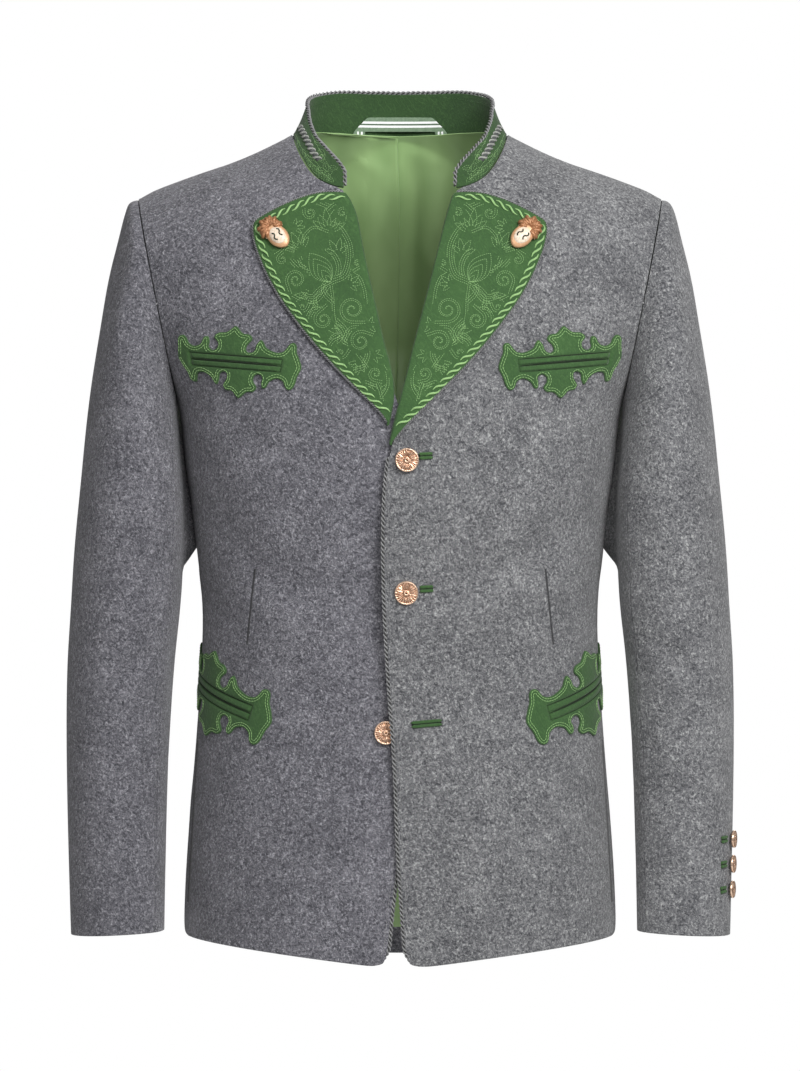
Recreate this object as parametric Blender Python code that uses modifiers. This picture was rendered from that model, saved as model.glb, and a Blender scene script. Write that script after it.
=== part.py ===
"""Tyrolean loden jacket, filled out as if worn.

Run with: blender --background --python part.py

+Z is up, the front faces -Y and the wearer's left arm is at +X. The origin lies between
the shoulders, where the wearer carries the jacket. Tables and lengths are in millimetres
and turn into metres where a mesh is made. "Own side" x runs outward from the centre front
on whichever side a piece belongs to, so one table serves both sides.
"""

import math

import bmesh
import bpy
import numpy as np
from mathutils import Matrix, Vector, geometry

MM = 0.001
LEFT, RIGHT = 1, -1  # the wearer's sides

# Cloth thicknesses, and the gap between neighbouring pieces.
LODEN = 2.0
FELT = 1.2
SATIN = 0.9
GAP = 0.3
SIDE_GAP = 0.5  # at the side seams, where the walls' inner faces lean together

# Body, a squarish oval at each height, without its shoulders: z, half width, front, back depth.
SQUARENESS = 2.3
BODY = (
    (-720, 190.8, 128.5, 128.5),
    (-650, 190.4, 126.5, 126.5),
    (-606, 188.3, 124.0, 123.0),
    (-562, 184.8, 121.5, 118.0),
    (-518, 180.8, 119.0, 113.5),
    (-465, 177.3, 118.0, 108.5),
    (-411, 174.0, 118.0, 106.0),
    (-372, 174.2, 120.0, 107.0),
    (-332, 180.3, 124.5, 111.0),
    (-280, 188.5, 130.5, 118.0),
    (-250, 191.5, 131.5, 121.5),
    (-221, 193.3, 130.0, 124.5),
    (-205, 199.5, 128.0, 126.0),
    (-182, 210.5, 124.5, 127.5),
    (-157, 224.0, 119.5, 128.0),
    (-125, 241.0, 110.0, 125.5),
    (-80, 257.0, 97.0, 118.0),
    (-50, 270.0, 87.0, 109.0),
    (-22, 282.0, 77.0, 99.0),
    (10, 290.0, 65.0, 86.0),
    (40, 296.0, 52.0, 72.0),
)
# Height of the shoulder line at each distance from the centre, and the drop over which
# the front and back arch up to it.
SHOULDER = (
    (0, 76), (50, 55), (80, 38), (95.6, 27.4), (115, 17),
    (138, 6), (168, -4), (199, -15), (231, -28), (262, -44),
)
ARCH = 75.0

# Armhole: a flat ring from the shoulder point down to the underarm point.
SHOULDER_POINT = (231.0, -28.0)
UNDERARM_POINT = (193.3, -221.0)
SIDE_SEAM = math.radians(90)

# Hem: height at the centre, rise outward for each millimetre, corner radii.
HEM_Z = -700.5
HEM_RISE = 0.118
SIDE_CORNER = 27.0
FRONT_CORNER = 13.0
CORD_END = 10.0  # where the edge cord ends along the hem, past the corner

# Neckline from the front end of the collar to the shoulder line, own side x, z.
NECKLINE = ((49, -25.5), (60, -24.6), (69, -21.5), (77, -13.5), (84, -2.5), (91, 12), (95.6, 27.2))
BACK_NECK = ((95.6, 27.2), (80, 30.5), (60, 32), (30, 31.5), (0, 31))

# Edge of each front from the hem corner up to the lapel's fold: z, and x across the body.
OVER_EDGE = ((-687, 4.0), (-650, 1.7), (-616, -0.9), (-521, -3.4), (-472, -7.7),
             (-382, -12.9), (-337, -14.2), (-290, -12.6), (-255, -10.6))
UNDER_EDGE = ((-687, -7.7), (-667, -6), (-644, -4.3), (-616, -1.7), (-560, 3),
              (-497, 9), (-440, 17), (-381, 23), (-330, 25), (-290, 22.5), (-263, 18.5))
# Fold of each lapel above that, in the same columns.
OVER_FOLD = ((-237, -7.4), (-220, -3.2), (-206, 1.0), (-166, 10.4), (-114, 23.8), (-70, 34.5), (-34, 43.6))
UNDER_FOLD = ((-244, 13.5), (-225, 7), (-204, -3.4), (-166, -12.4), (-125, -21.3), (-80, -31.5), (-35, -41.5))
ROLL = 3.4  # radius of the facing's turn at the fold

# The left front passes over the right one by this much, and swells over the lowest button.
LIFT = 4.2
LOW_BUTTON = (-12.0, -497.0)  # x and z of the lowest button, on the right front
LIFT_FULL, LIFT_NONE = 42.0, 85.0
LIFT_FOOT, LIFT_TOP = -235.0, -130.0

# Lapel outline on the own side, from the fold's top along the top edge and down the outer edge.
LAPEL_TOP = ((45.5, -29), (69, -26.5), (97, -37), (120, -48.5), (127.5, -54.5))
LAPEL_SIDE = ((127.5, -54.5), (130, -63), (126, -79), (118, -99), (105, -124), (88, -147), (69.5, -170),
              (45, -196))
OVER_LAPEL_FOOT = ((6, -234.6), (-7.5, -250))
UNDER_LAPEL_FOOT = ((18, -222), (9.6, -232.6))
FACING_INSET = 0.7


def smooth(table, column, at):
    """One column of a table, read through a smooth curve at places in its first column."""
    rows = np.array(table, float)
    rows = rows[np.argsort(rows[:, 0])]
    place, value = rows[:, 0], rows[:, column]
    slope = np.gradient(value, place)
    at = np.asarray(at, float)
    row = np.clip(np.searchsorted(place, at) - 1, 0, len(place) - 2)
    span = place[row + 1] - place[row]
    f = np.clip((at - place[row]) / span, -1, 2)
    return ((1 + 2 * f) * (1 - f) ** 2 * value[row] + f * (1 - f) ** 2 * span * slope[row]
            + f * f * (3 - 2 * f) * value[row + 1] + f * f * (f - 1) * span * slope[row + 1])


def ease(f):
    f = np.clip(f, 0, 1)
    return f * f * (3 - 2 * f)


def unit(vectors):
    return vectors / np.linalg.norm(vectors, axis=-1, keepdims=True)


def bare_body(turn, z):
    """A point of the body's outer surface: turn is 0 at centre front and +-pi/2 at the sides."""
    across, along = np.sin(turn), np.cos(turn)
    half = smooth(BODY, 1, z)
    depth = np.where(along > 0, smooth(BODY, 2, z), smooth(BODY, 3, z))
    reach = ((abs(across) / half) ** SQUARENESS + (abs(along) / depth) ** SQUARENESS) ** (-1 / SQUARENESS)
    x = reach * across
    drop = np.clip((smooth(SHOULDER, 1, abs(x)) - z) / ARCH, 0, 1)
    y = -reach * along * np.sqrt(1 - (1 - drop) ** 2)
    return np.stack([x, y, z + 0 * x], axis=-1)


def body_normal(turn, z):
    step_turn, step_z = 0.004, 0.6
    round_it = bare_body(turn + step_turn, z) - bare_body(turn - step_turn, z)
    up_it = bare_body(turn, z + step_z) - bare_body(turn, z - step_z)
    return unit(np.cross(round_it, up_it))


def lift(point):
    """How far the left front lies outside the right one."""
    x, z = point[..., 0], point[..., 2]
    toward_centre = 1 - ease((x - LIFT_FULL) / (LIFT_NONE - LIFT_FULL))
    below_fold = 1 - ease((z - LIFT_FOOT) / (LIFT_TOP - LIFT_FOOT))
    over_button = 3.8 * np.exp(-(((z - LOW_BUTTON[1]) / 34) ** 2) - ((x - LOW_BUTTON[0] - 8) / 40) ** 2)
    return (LIFT + over_button) * toward_centre * below_fold


def on_body(turn, z, out=0.0, lifted=False):
    point = bare_body(turn, z)
    normal = body_normal(turn, z)
    if lifted:
        out = out + lift(point)
    return point + normal * np.asarray(out, float)[..., None] if np.ndim(out) else point + normal * out


def turn_at(x, z, behind=False):
    """The turn round the body that meets a distance x from the centre at height z."""
    x, z = np.asarray(x, float), np.asarray(z, float)
    half = smooth(BODY, 1, z)
    depth = smooth(BODY, 3 if behind else 2, z)
    inside = np.clip(1 - (abs(x) / half) ** SQUARENESS, 0, 1)
    y = depth * inside ** (1 / SQUARENESS)
    return np.arctan2(x, -y if behind else y)



# Sleeve rings on the own side: distance down the sleeve, outer x, z, inner x, z, half depth, centre y.
SLEEVE = (
    (0, 231.0, -28.0, 193.3, -221.0, 63.5, 0),
    (7, 237.0, -30.0, 193.7, -224.5, 65.0, -0.5),
    (15, 241.5, -38.0, 193.6, -229.0, 66.5, -1),
    (30, 247.0, -56.0, 193.2, -236.0, 68.5, -2),
    (65, 257.0, -93.0, 192.2, -249.0, 71.5, -5),
    (110, 265.5, -143.0, 190.7, -264.0, 73.5, -8),
    (165, 275.0, -200.0, 188.8, -283.0, 74.5, -12),
    (235, 282.7, -279.0, 187.4, -309.0, 73.5, -15),
    (285, 288.0, -332.0, 187.3, -343.0, 71.0, -17),
    (345, 291.4, -392.0, 191.3, -393.0, 67.5, -19),
    (390, 294.2, -438.0, 195.2, -437.0, 63.5, -21),
    (470, 294.6, -518.0, 201.0, -516.0, 57.5, -26),
    (525, 293.3, -571.0, 202.3, -567.0, 53.5, -31),
    (580, 291.5, -625.0, 203.4, -620.0, 50.0, -37),
    (630, 289.4, -676.0, 204.0, -672.0, 47.5, -43),
)
SLEEVE_SQUARENESS = 2.15
SLEEVE_SEAM_GAP = 0.6
SLEEVE_BLEND = 60.0  # distance over which the sleeve leaves the armhole's own outline
# Seams of the two-piece sleeve, as angles round it: 0 is outward, 90 forward, 180 toward the body.
FRONT_SLEEVE_SEAM = 140.0
BACK_SLEEVE_SEAM = {
    LEFT: ((0, -84), (200, -70), (400, -52), (540, -26), (630, -6)),
    RIGHT: ((0, -84), (200, -80), (400, -76), (540, -72), (630, -70)),
}
# Soft folds in the sleeves: distance down, angle, depth, length along and around, slope.
SLEEVE_FOLDS = (
    (95, 60, 2.4, 26, 55, 0.55),
    (300, 150, -2.6, 16, 50, 0.25),
    (345, 125, 2.2, 17, 60, -0.30),
    (385, 150, -2.2, 15, 46, 0.20),
)


def curve(points, fractions):
    """Points at fractions of the length of a smooth curve through the given points."""
    points = np.array(points, float)
    chords = np.linalg.norm(np.diff(points, axis=0), axis=1)
    place = np.concatenate([[0], np.cumsum(chords)])
    table = np.column_stack([place, points])
    fine = np.linspace(0, place[-1], 300)
    path = np.stack([smooth(table, 1 + axis, fine) for axis in range(points.shape[1])], axis=-1)
    run = np.concatenate([[0], np.cumsum(np.linalg.norm(np.diff(path, axis=0), axis=1))])
    at = np.asarray(fractions, float) * run[-1]
    return np.stack([np.interp(at, run, path[:, axis]) for axis in range(path.shape[1])], axis=-1)


def patch(bottom, top, left, right, across, up):
    """A grid between four edges that meet at their ends."""
    u, v = across[None, :, None], up[:, None, None]
    sides = (1 - u) * left[:, None] + u * right[:, None]
    ends = (1 - v) * bottom[None] + v * top[None]
    corners = ((1 - u) * (1 - v) * bottom[0] + u * (1 - v) * bottom[-1]
               + (1 - u) * v * top[0] + u * v * top[-1])
    return sides + ends - corners


def arch_rows(count):
    """Fractions of the arch's height at even angles round it, from its foot up."""
    angles = np.radians(np.linspace(90, 14, count))
    return np.concatenate([np.cos(angles), [math.cos(math.radians(4)), 1]])


# Columns of the body panels run from the centre to the side, close together at the edges.
PANEL_ACROSS = np.array([0, 0.014, 0.05, 0.15, 0.28, 0.41, 0.54, 0.66, 0.77, 0.87, 0.94, 0.985, 1])
ARCH_SHARE = 0.109  # of the panels' height
UNDERARM_SHARE = 0.692
PANEL_UP = np.concatenate([
    [0, 0.012], np.linspace(0.06, 0.64, 9), np.linspace(UNDERARM_SHARE, 1 - ARCH_SHARE, 5)[:-1],
    1 - ARCH_SHARE * (1 - arch_rows(5)),
])
TOP_DROP = 0.0004  # keeps the shoulder seam's two edges a hair apart


def armhole_x(z):
    (top_x, top_z), (low_x, low_z) = SHOULDER_POINT, UNDERARM_POINT
    return low_x + (z - low_z) * (top_x - low_x) / (top_z - low_z)


def corner_rise(distance, radius):
    inside = np.clip(radius - distance, 0, radius)
    return radius - np.sqrt(radius**2 - inside**2)


def hem(inner_x, across, behind):
    """The hem from its inner corner to the side seam, as turns and heights."""
    base = HEM_Z - (6 if behind else 0)
    side = SIDE_SEAM + (1 if behind else -1) * SIDE_GAP / 2 / BODY[0][1]
    turns = np.linspace(turn_at(inner_x, base, behind), side, 240)
    ring = bare_body(turns, np.full(240, base + 20.0))
    run = np.concatenate([[0], np.cumsum(np.linalg.norm(np.diff(ring, axis=0), axis=1))])
    at = across * run[-1]
    x = np.interp(at, run, ring[:, 0])
    z = base + corner_rise(run[-1] - at, SIDE_CORNER)
    if behind:
        z = z + HEM_RISE * x * x / BODY[0][1]
    else:
        z = z + HEM_RISE * abs(x) + corner_rise(at, FRONT_CORNER)
    return np.column_stack([np.interp(at, run, turns), z])


def side_edge(foot, up, behind):
    """Side seam and armhole of a body panel, from the hem up to the shoulder point."""
    z = foot[1] + up * (SHOULDER_POINT[1] - TOP_DROP - foot[1])
    at_armhole = turn_at(armhole_x(np.maximum(z, UNDERARM_POINT[1])), z, behind)
    at_armhole = np.maximum(at_armhole, foot[0]) if behind else np.minimum(at_armhole, foot[0])
    return np.column_stack([np.where(z > UNDERARM_POINT[1], at_armhole, foot[0]), z])


def front_grid(inner_edge, across, up):
    """Turns and heights of a front: its inner edge is own side x, z, from the hem corner up."""
    bottom = hem(inner_edge[0][0], across, False)
    inner_edge = [(inner_edge[0][0], bottom[0, 1])] + list(inner_edge[1:])
    lower = up[up <= 1 - ARCH_SHARE + 1e-9]
    upper = up[len(lower):]
    neck = curve(NECKLINE, (upper - 1 + ARCH_SHARE) / ARCH_SHARE)
    left = np.vstack([curve(inner_edge, lower / (1 - ARCH_SHARE)), neck])
    left[-1, 1] = smooth(SHOULDER, 1, left[-1, 0]) - TOP_DROP
    left = np.column_stack([turn_at(left[:, 0], left[:, 1]), left[:, 1]])
    x = NECKLINE[-1][0] + across * (SHOULDER_POINT[0] - NECKLINE[-1][0])
    z = smooth(SHOULDER, 1, x) - TOP_DROP
    top = np.column_stack([turn_at(x, z), z])
    right = side_edge(bottom[-1], up, False)
    top[-1] = right[-1]
    return patch(bottom, top, left, right, across, up)


def back_grid(across, neck_columns, up, neck_drop=0.0):
    """Turns and heights of half a back, from the centre to the side seam and armhole."""
    bottom = hem(0.0, across, True)
    neck_x = NECKLINE[-1][0]
    to_neck = across[:neck_columns] / across[neck_columns - 1]
    neck = curve(BACK_NECK[::-1], to_neck) - [0, neck_drop]
    neck[-1] = neck_x, smooth(SHOULDER, 1, neck_x) - TOP_DROP
    to_arm = (across[neck_columns:] - across[neck_columns - 1]) / (1 - across[neck_columns - 1])
    x = neck_x + to_arm * (SHOULDER_POINT[0] - neck_x)
    top = np.vstack([neck, np.column_stack([x, smooth(SHOULDER, 1, x) - TOP_DROP])])
    top = np.column_stack([turn_at(top[:, 0], top[:, 1], True), top[:, 1]])
    left = np.column_stack([0 * up + math.pi, bottom[0, 1] + up * (top[0, 1] - bottom[0, 1])])
    right = side_edge(bottom[-1], up, True)
    top[-1] = right[-1]
    return patch(bottom, top, left, right, across, up)


def whole_back(half):
    """Both halves of a back from the points of the wearer's left one, columns from the side in."""
    half = half[:, ::-1].copy()
    half[:, -1, 0] = 0
    return np.concatenate([half, half[:, -2::-1] * [-1, 1, 1]], axis=1)


def front_edges(side):
    """Inner edge of a front on its own side, from the hem corner to the fold's top."""
    edge, fold = (OVER_EDGE, OVER_FOLD) if side == LEFT else (UNDER_EDGE, UNDER_FOLD)
    inset = [ROLL * min(1, (place + 1) / 2) for place in range(len(fold))]
    folded = [(side * x + inward, z) for (z, x), inward in zip(fold, inset)]
    return [(side * x, z) for z, x in edge] + folded + [NECKLINE[0]]


# ---------------------------------------------------------------- making objects

def clear_scene():
    for thing in list(bpy.data.objects):
        bpy.data.objects.remove(thing, do_unlink=True)


def new_collection(name):
    made = bpy.data.collections.new(name)
    bpy.context.scene.collection.children.link(made)
    return made


def cloth_material(name, colour, roughness=0.9, metallic=0.0):
    made = bpy.data.materials.new(name)
    made.use_nodes = True
    shader = made.node_tree.nodes["Principled BSDF"]
    shader.inputs["Base Color"].default_value = (*colour, 1)
    shader.inputs["Roughness"].default_value = roughness
    shader.inputs["Metallic"].default_value = metallic
    return made


clear_scene()
JACKET = new_collection("tyrolean_loden_jacket")
LODEN_GREY = cloth_material("loden_grey", (0.17, 0.17, 0.185))
FELT_GREEN = cloth_material("felt_green", (0.075, 0.16, 0.055))
SATIN_GREEN = cloth_material("satin_green", (0.14, 0.24, 0.10), 0.45)
CORD_GREY = cloth_material("cord_grey", (0.20, 0.21, 0.21))
ROSE_METAL = cloth_material("rose_metal", (0.72, 0.42, 0.28), 0.3, 1.0)
RIBBON = cloth_material("ribbon_striped", (0.35, 0.42, 0.36), 0.6)


def add_object(name, data, material):
    data.materials.append(material)
    made = bpy.data.objects.new(name, data)
    JACKET.objects.link(made)
    return made


def shell(name, points, thickness, material, side=LEFT, outward=False):
    """A wall on a grid of outer points (rows, columns, 3), thickened inward or outward."""
    rows, columns = points.shape[:2]
    points = points.reshape(-1, 3) * [side * MM, MM, MM]
    faces = []
    for row in range(rows - 1):
        for column in range(columns - 1):
            a = row * columns + column
            face = (a, a + 1, a + 1 + columns, a + columns)
            faces.append(face if side == LEFT else face[::-1])
    mesh = bpy.data.meshes.new(name)
    mesh.from_pydata(points.tolist(), [], faces)
    mesh.shade_smooth()
    return thicken(add_object(name, mesh, material), thickness, outward)


def thicken(made, thickness, outward=False):
    solidify = made.modifiers.new("wall", "SOLIDIFY")
    solidify.thickness = thickness * MM
    solidify.offset = 1 if outward else -1
    return made


def tube(name, points, radius, material):
    """A cord of a given radius along a smooth route of points in millimetres."""
    data = bpy.data.curves.new(name, "CURVE")
    data.dimensions = "3D"
    data.bevel_depth = radius * MM
    data.bevel_resolution = 2
    data.use_fill_caps = True
    spline = data.splines.new("POLY")
    spline.points.add(len(points) - 1)
    for point, place in zip(spline.points, points):
        point.co = (*(np.array(place) * MM), 1)
    return add_object(name, data, material)


# ---------------------------------------------------------------- body

def build_front(side):
    name = "front_left" if side == LEFT else "front_right"
    grid = front_grid(front_edges(side), PANEL_ACROSS, PANEL_UP)
    shell(name, on_body(grid[..., 0], grid[..., 1], 0.0, side == LEFT), LODEN, LODEN_GREY, side)


def build_back():
    across = PANEL_ACROSS[[0, 2, 3, 4, 5, 6, 7, 8, 9, 10, 11, 12]]
    grid = back_grid(across, 5, PANEL_UP)
    shell("back", whole_back(on_body(grid[..., 0], grid[..., 1])), LODEN, LODEN_GREY)


# ---------------------------------------------------------------- sleeves

def sleeve_surface(down, angle, side):
    """Outer surface of a sleeve on its own side, at distances down it and angles round it."""
    outer = np.stack([smooth(SLEEVE, 1, down), 0 * down, smooth(SLEEVE, 2, down)], axis=-1)
    inner = np.stack([smooth(SLEEVE, 3, down), 0 * down, smooth(SLEEVE, 4, down)], axis=-1)
    half_depth, centre_y = smooth(SLEEVE, 5, down), smooth(SLEEVE, 6, down)
    c, s = np.cos(angle), np.sin(angle)
    swell = (abs(c) ** SLEEVE_SQUARENESS + abs(s) ** SLEEVE_SQUARENESS) ** (-1 / SLEEVE_SQUARENESS)
    fold = sleeve_folds(down, np.degrees(angle))
    reach = swell * (1 + fold / half_depth)
    across = (outer - inner) / 2
    point = (outer + inner) / 2 + across * (reach * c)[..., None]
    point[..., 1] += centre_y - half_depth * reach * s
    (top_x, top_z), (low_x, low_z) = SHOULDER_POINT, UNDERARM_POINT
    z = (top_z + low_z) / 2 + (top_z - low_z) / 2 * c - TOP_DROP
    x = armhole_x(z)
    on_front = bare_body(turn_at(x, z), z)
    on_back = bare_body(turn_at(x, z, True), z)
    hole = np.where((s > 0)[..., None], on_front, on_back) + [GAP + 0.1, 0, 0]
    start = np.stack([(top_x + low_x) / 2 + (top_x - low_x) / 2 * swell * c, -smooth(SLEEVE, 5, 0.0) * swell * s,
                      (top_z + low_z) / 2 + (top_z - low_z) / 2 * swell * c], axis=-1)
    share = np.clip(1 - down / SLEEVE_BLEND, 0, 1) ** 2
    return point + (hole - start) * share[..., None]


def sleeve_folds(down, degrees):
    depth = 0 * down
    for place, angle, high, length, round_it, slope in SLEEVE_FOLDS:
        off = degrees - angle
        depth = depth + high * np.exp(-(((down - place - slope * off) / length) ** 2) - (off / round_it) ** 2)
    return depth


SLEEVE_DOWN = np.array([0, 3, 8, 16, 30, 50, 76, 110, 150, 192, 232, 270, 300, 325, 350, 375, 400, 440, 490,
                        545, 600, 624, 630])


def build_sleeve(side):
    word = "left" if side == LEFT else "right"
    edge = math.degrees(SLEEVE_SEAM_GAP / 2 / 60)
    front = FRONT_SLEEVE_SEAM
    back = smooth(BACK_SLEEVE_SEAM[side], 1, SLEEVE_DOWN)
    halves = (
        ("top_sleeve_", back + edge, front - edge + 0 * back, 10),
        ("under_sleeve_", front + edge + 0 * back, back + 360 - edge, 7),
    )
    for name, first, last, count in halves:
        across = np.concatenate([[0, 0.025], np.linspace(0.12, 0.88, count - 3), [0.975, 1]])
        angle = np.radians(first[:, None] + (last - first)[:, None] * across[None])
        down = np.repeat(SLEEVE_DOWN[:, None], len(across), axis=1)
        shell(name + word, sleeve_surface(down, angle, side), LODEN, LODEN_GREY, side)


# ---------------------------------------------------------------- collar

# Top edge of the stand collar on the own side: share of the neckline's length, x, y, z.
COLLAR_TOP = (
    (0, 49.5, -71.5, -9.5), (0.08, 54, -67, -1.5), (0.18, 60.5, -57.5, 8), (0.30, 69.5, -39, 23.5),
    (0.40, 77, -19, 37.5), (0.48, 81.5, -2, 47), (0.60, 83.5, 16, 55), (0.72, 77, 37, 61.5),
    (0.84, 56, 56, 67), (0.92, 31, 64, 70), (1, 0, 67, 71),
)
COLLAR_WALL = 2.4
COLLAR_LIFT = (1.7, 0.5)  # off the neckline seam, at the front ends and round the back
COLLAR_RUN = np.array([0, 0.02, 0.1, 0.2, 0.3, 0.4, 0.48, 0.56, 0.66, 0.76, 0.86, 0.93, 1])
COLLAR_UP = np.array([0, 0.1, 0.5, 0.92, 1])
EDGE_CORD = 1.8  # radius of the twisted cord on the collar and front edges
LAPEL_CORD = 1.1
CORD_OFF = 0.7  # cords lie this far from the cut edges they cover


def neck_seam(shares):
    """The neckline on the body's surface, from the collar's front end to the centre back."""
    front = curve(NECKLINE, np.linspace(0, 1, 60))
    back = curve(BACK_NECK, np.linspace(0, 1, 60)[1:])
    front[-1, 1] = smooth(SHOULDER, 1, front[-1, 0]) - TOP_DROP
    path = np.vstack([
        bare_body(turn_at(front[:, 0], front[:, 1]), front[:, 1]),
        bare_body(turn_at(back[:, 0], back[:, 1], True), back[:, 1]),
    ])
    run = np.concatenate([[0], np.cumsum(np.linalg.norm(np.diff(path, axis=0), axis=1))])
    at = shares * run[-1]
    return np.stack([np.interp(at, run, path[:, axis]) for axis in range(3)], axis=-1)


def collar_top(shares):
    return np.stack([smooth(COLLAR_TOP, column, shares) for column in (1, 2, 3)], axis=-1)


def both_sides(half):
    """Points of the wearer's left half, front end first, joined at the back to their mirror images."""
    return np.concatenate([half, half[..., -2::-1, :] * [-1, 1, 1]], axis=-2)


def build_collar():
    foot, top = neck_seam(COLLAR_RUN), collar_top(COLLAR_RUN)
    rise = unit(top - foot)
    foot = foot + rise * np.interp(COLLAR_RUN, (0.56, 0.88), COLLAR_LIFT)[:, None]
    half = foot[None] + (top - foot)[None] * COLLAR_UP[:, None, None]
    points = both_sides(half)
    shell("collar", points, COLLAR_WALL, FELT_GREEN)
    inward = unit(np.cross(rise, np.gradient(top, axis=0)))
    middle = inward * COLLAR_WALL / 2
    off = EDGE_CORD + CORD_OFF + 0.2
    along_top = top[1:] + rise[1:] * off + middle[1:]
    end = np.linspace(0.12, 0.86, 3)[:, None]
    ahead = np.array([-1.0, -0.3, 0.0]) / math.hypot(1, 0.3)
    down_end = foot[0] + (top[0] - foot[0]) * end + ahead * off + middle[0]
    corner = top[0] + (rise[0] + ahead) * off * 0.8 + middle[0]
    route = np.vstack([down_end, corner[None], along_top])
    route = both_sides(route[None])[0]
    tube("collar_cord", route, EDGE_CORD, CORD_GREY)


# ---------------------------------------------------------------- lapels

LAPEL_WALL, LAPEL_OFF, FACING_OFF = 1.4, 0.5, 2.4
FACING_TOP = FACING_OFF + FELT
FELT_CLEAR = 0.7  # height of the turned edge where a front lies under it
LAPEL_UP = np.array([0, 0.04, 0.12, 0.22, 0.34, 0.46, 0.58, 0.7, 0.81, 0.9, 0.97, 1])


def lapel_outline(side, inset=0.0):
    """Fold, top edge and outer edge of a lapel on its own side, each from its foot or fold."""
    fold = OVER_FOLD if side == LEFT else UNDER_FOLD
    foot = OVER_LAPEL_FOOT if side == LEFT else UNDER_LAPEL_FOOT
    outer = [(x, z) for x, z in (LAPEL_SIDE + foot)[::-1]]
    inner = [(side * x, z) for z, x in fold]
    if side == LEFT:
        inner = [(-9.6, -248.5)] + inner
    else:
        inner = [(8.8, -232.0), (6.2, -217.0)] + inner[2:]
    inner.append(LAPEL_TOP[0])
    return inner, list(LAPEL_TOP), outer


def lapel_grid(side, trim_fold, trim_edge, across):
    """Own side x, z and distance from the fold, for columns at shares of the lapel's width."""
    inner, top, outer = lapel_outline(side)
    inner, outer = curve(inner, LAPEL_UP), curve(outer, LAPEL_UP)
    top = curve(top, np.linspace(0, 1, 60))
    share = np.linspace(0, 1, 60)
    width = np.linalg.norm(outer - inner, axis=1)
    first = np.minimum(trim_fold / width, 0.35)
    last = 1 - np.minimum(trim_edge / width, 0.3)
    share_at = first[:, None] + (last - first)[:, None] * across[None]
    plain = inner[:, None] + (outer - inner)[:, None] * share_at[..., None]
    top_at = np.stack([np.interp(share_at, share, top[:, axis]) for axis in (0, 1)], axis=-1)
    chord = inner[-1] + (outer[-1] - inner[-1]) * share_at[..., None]
    pull = LAPEL_UP[:, None, None] ** 4
    points = plain + (top_at - chord) * pull
    points[..., 1] -= trim_edge * pull[..., 0]
    return points, share_at * width[:, None]


def build_lapel(side):
    word = "left" if side == LEFT else "right"
    lifted = side == LEFT
    across = np.array([0, 0.04, 0.25, 0.5, 0.75, 0.96, 1])
    points, _ = lapel_grid(side, ROLL + GAP, LAPEL_CORD + CORD_OFF + 3 * GAP, across)
    points = points[1:]
    turn = turn_at(points[..., 0], points[..., 1])
    under = on_body(turn, points[..., 1], np.full(turn.shape, LAPEL_OFF + LAPEL_WALL), lifted)
    shell("lapel_" + word, under, LAPEL_WALL, LODEN_GREY, side)
    across = np.array([0, 0, 0.02, 0.06, 0.25, 0.5, 0.75, 0.96, 1])
    points, from_fold = lapel_grid(side, 0.0, LAPEL_CORD + CORD_OFF + FACING_INSET, across)
    quarter = np.sin(np.radians([0, 0, 35, 65]))
    for column, turned in enumerate(quarter):
        shift = ROLL * (1 - math.sqrt(1 - turned * turned)) - from_fold[:, column]
        outward = unit(points[:, -1] - points[:, 0])
        points[:, column] += outward * shift[:, None]
    reach_in = ease((LAPEL_UP - 0.24) / 0.1) if side == RIGHT else 1 + 0 * LAPEL_UP
    rolled = ROLL * reach_in + (FACING_TOP - FELT_CLEAR) * (1 - reach_in)
    out = np.full(points.shape[:2], FACING_TOP)
    out[:, 1:4] = FACING_TOP - rolled[:, None] * (1 - quarter[1:])
    out[:, 0] = out[:, 1] - 0.25 - 2.1 * reach_in
    turn = turn_at(points[..., 0], points[..., 1])
    facing = on_body(turn, points[..., 1], out, lifted)
    shell("lapel_facing_" + word, facing, FELT, FELT_GREEN, side)


def outward_of(points):
    """Unit directions to the left of a route in the plane of x and z."""
    along = unit(np.gradient(np.array(points, float), axis=0))
    return np.column_stack([-along[:, 1], along[:, 0]])


def build_lapel_cord(side):
    """Thin cord round the lapel, from the fold's top to the foot, laid against its cut edge."""
    word = "left" if side == LEFT else "right"
    _, top, outer = lapel_outline(side)
    top = curve(top, np.linspace(0.06, 1, 9))
    outer = curve(outer[::-1], np.linspace(0, 0.985, 17))[1:]
    route = np.vstack([top, outer])
    centre_out = LAPEL_OFF + 1.6
    turn = turn_at(route[:, 0], route[:, 1])
    points = on_body(turn, route[:, 1], np.full(len(route), centre_out), side == LEFT)
    tube("lapel_cord_" + word, points * [side, 1, 1], LAPEL_CORD, CORD_GREY)


def build_front_cord(side):
    """Cord along a front's cut edge, from the lapel's foot down and round the hem corner."""
    word = "left" if side == LEFT else "right"
    table = OVER_EDGE if side == LEFT else UNDER_EDGE
    inner = front_edges(side)[:len(table)]
    bottom = hem(inner[0][0], np.linspace(0, 1, 90), False)
    corner = bare_body(bottom[:, 0], bottom[:, 1])[:, [0, 2]]
    corner = corner[np.searchsorted(corner[:, 0], inner[0][0] + CORD_END):0:-1]
    corner = curve(corner, np.linspace(0, 1, 7))
    edge = curve([(inner[0][0], bottom[0, 1])] + inner[1:], np.linspace(0, 0.99, 19))
    route = np.vstack([corner, edge])
    off = outward_of(route) * (EDGE_CORD + CORD_OFF)
    route = route + off
    turn = turn_at(route[:, 0], route[:, 1])
    points = on_body(turn, route[:, 1], np.full(len(route), -LODEN / 2 + 0.6), side == LEFT)
    tube("front_cord_" + word, points * [side, 1, 1], EDGE_CORD, CORD_GREY)


# ---------------------------------------------------------------- pocket patches

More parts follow.
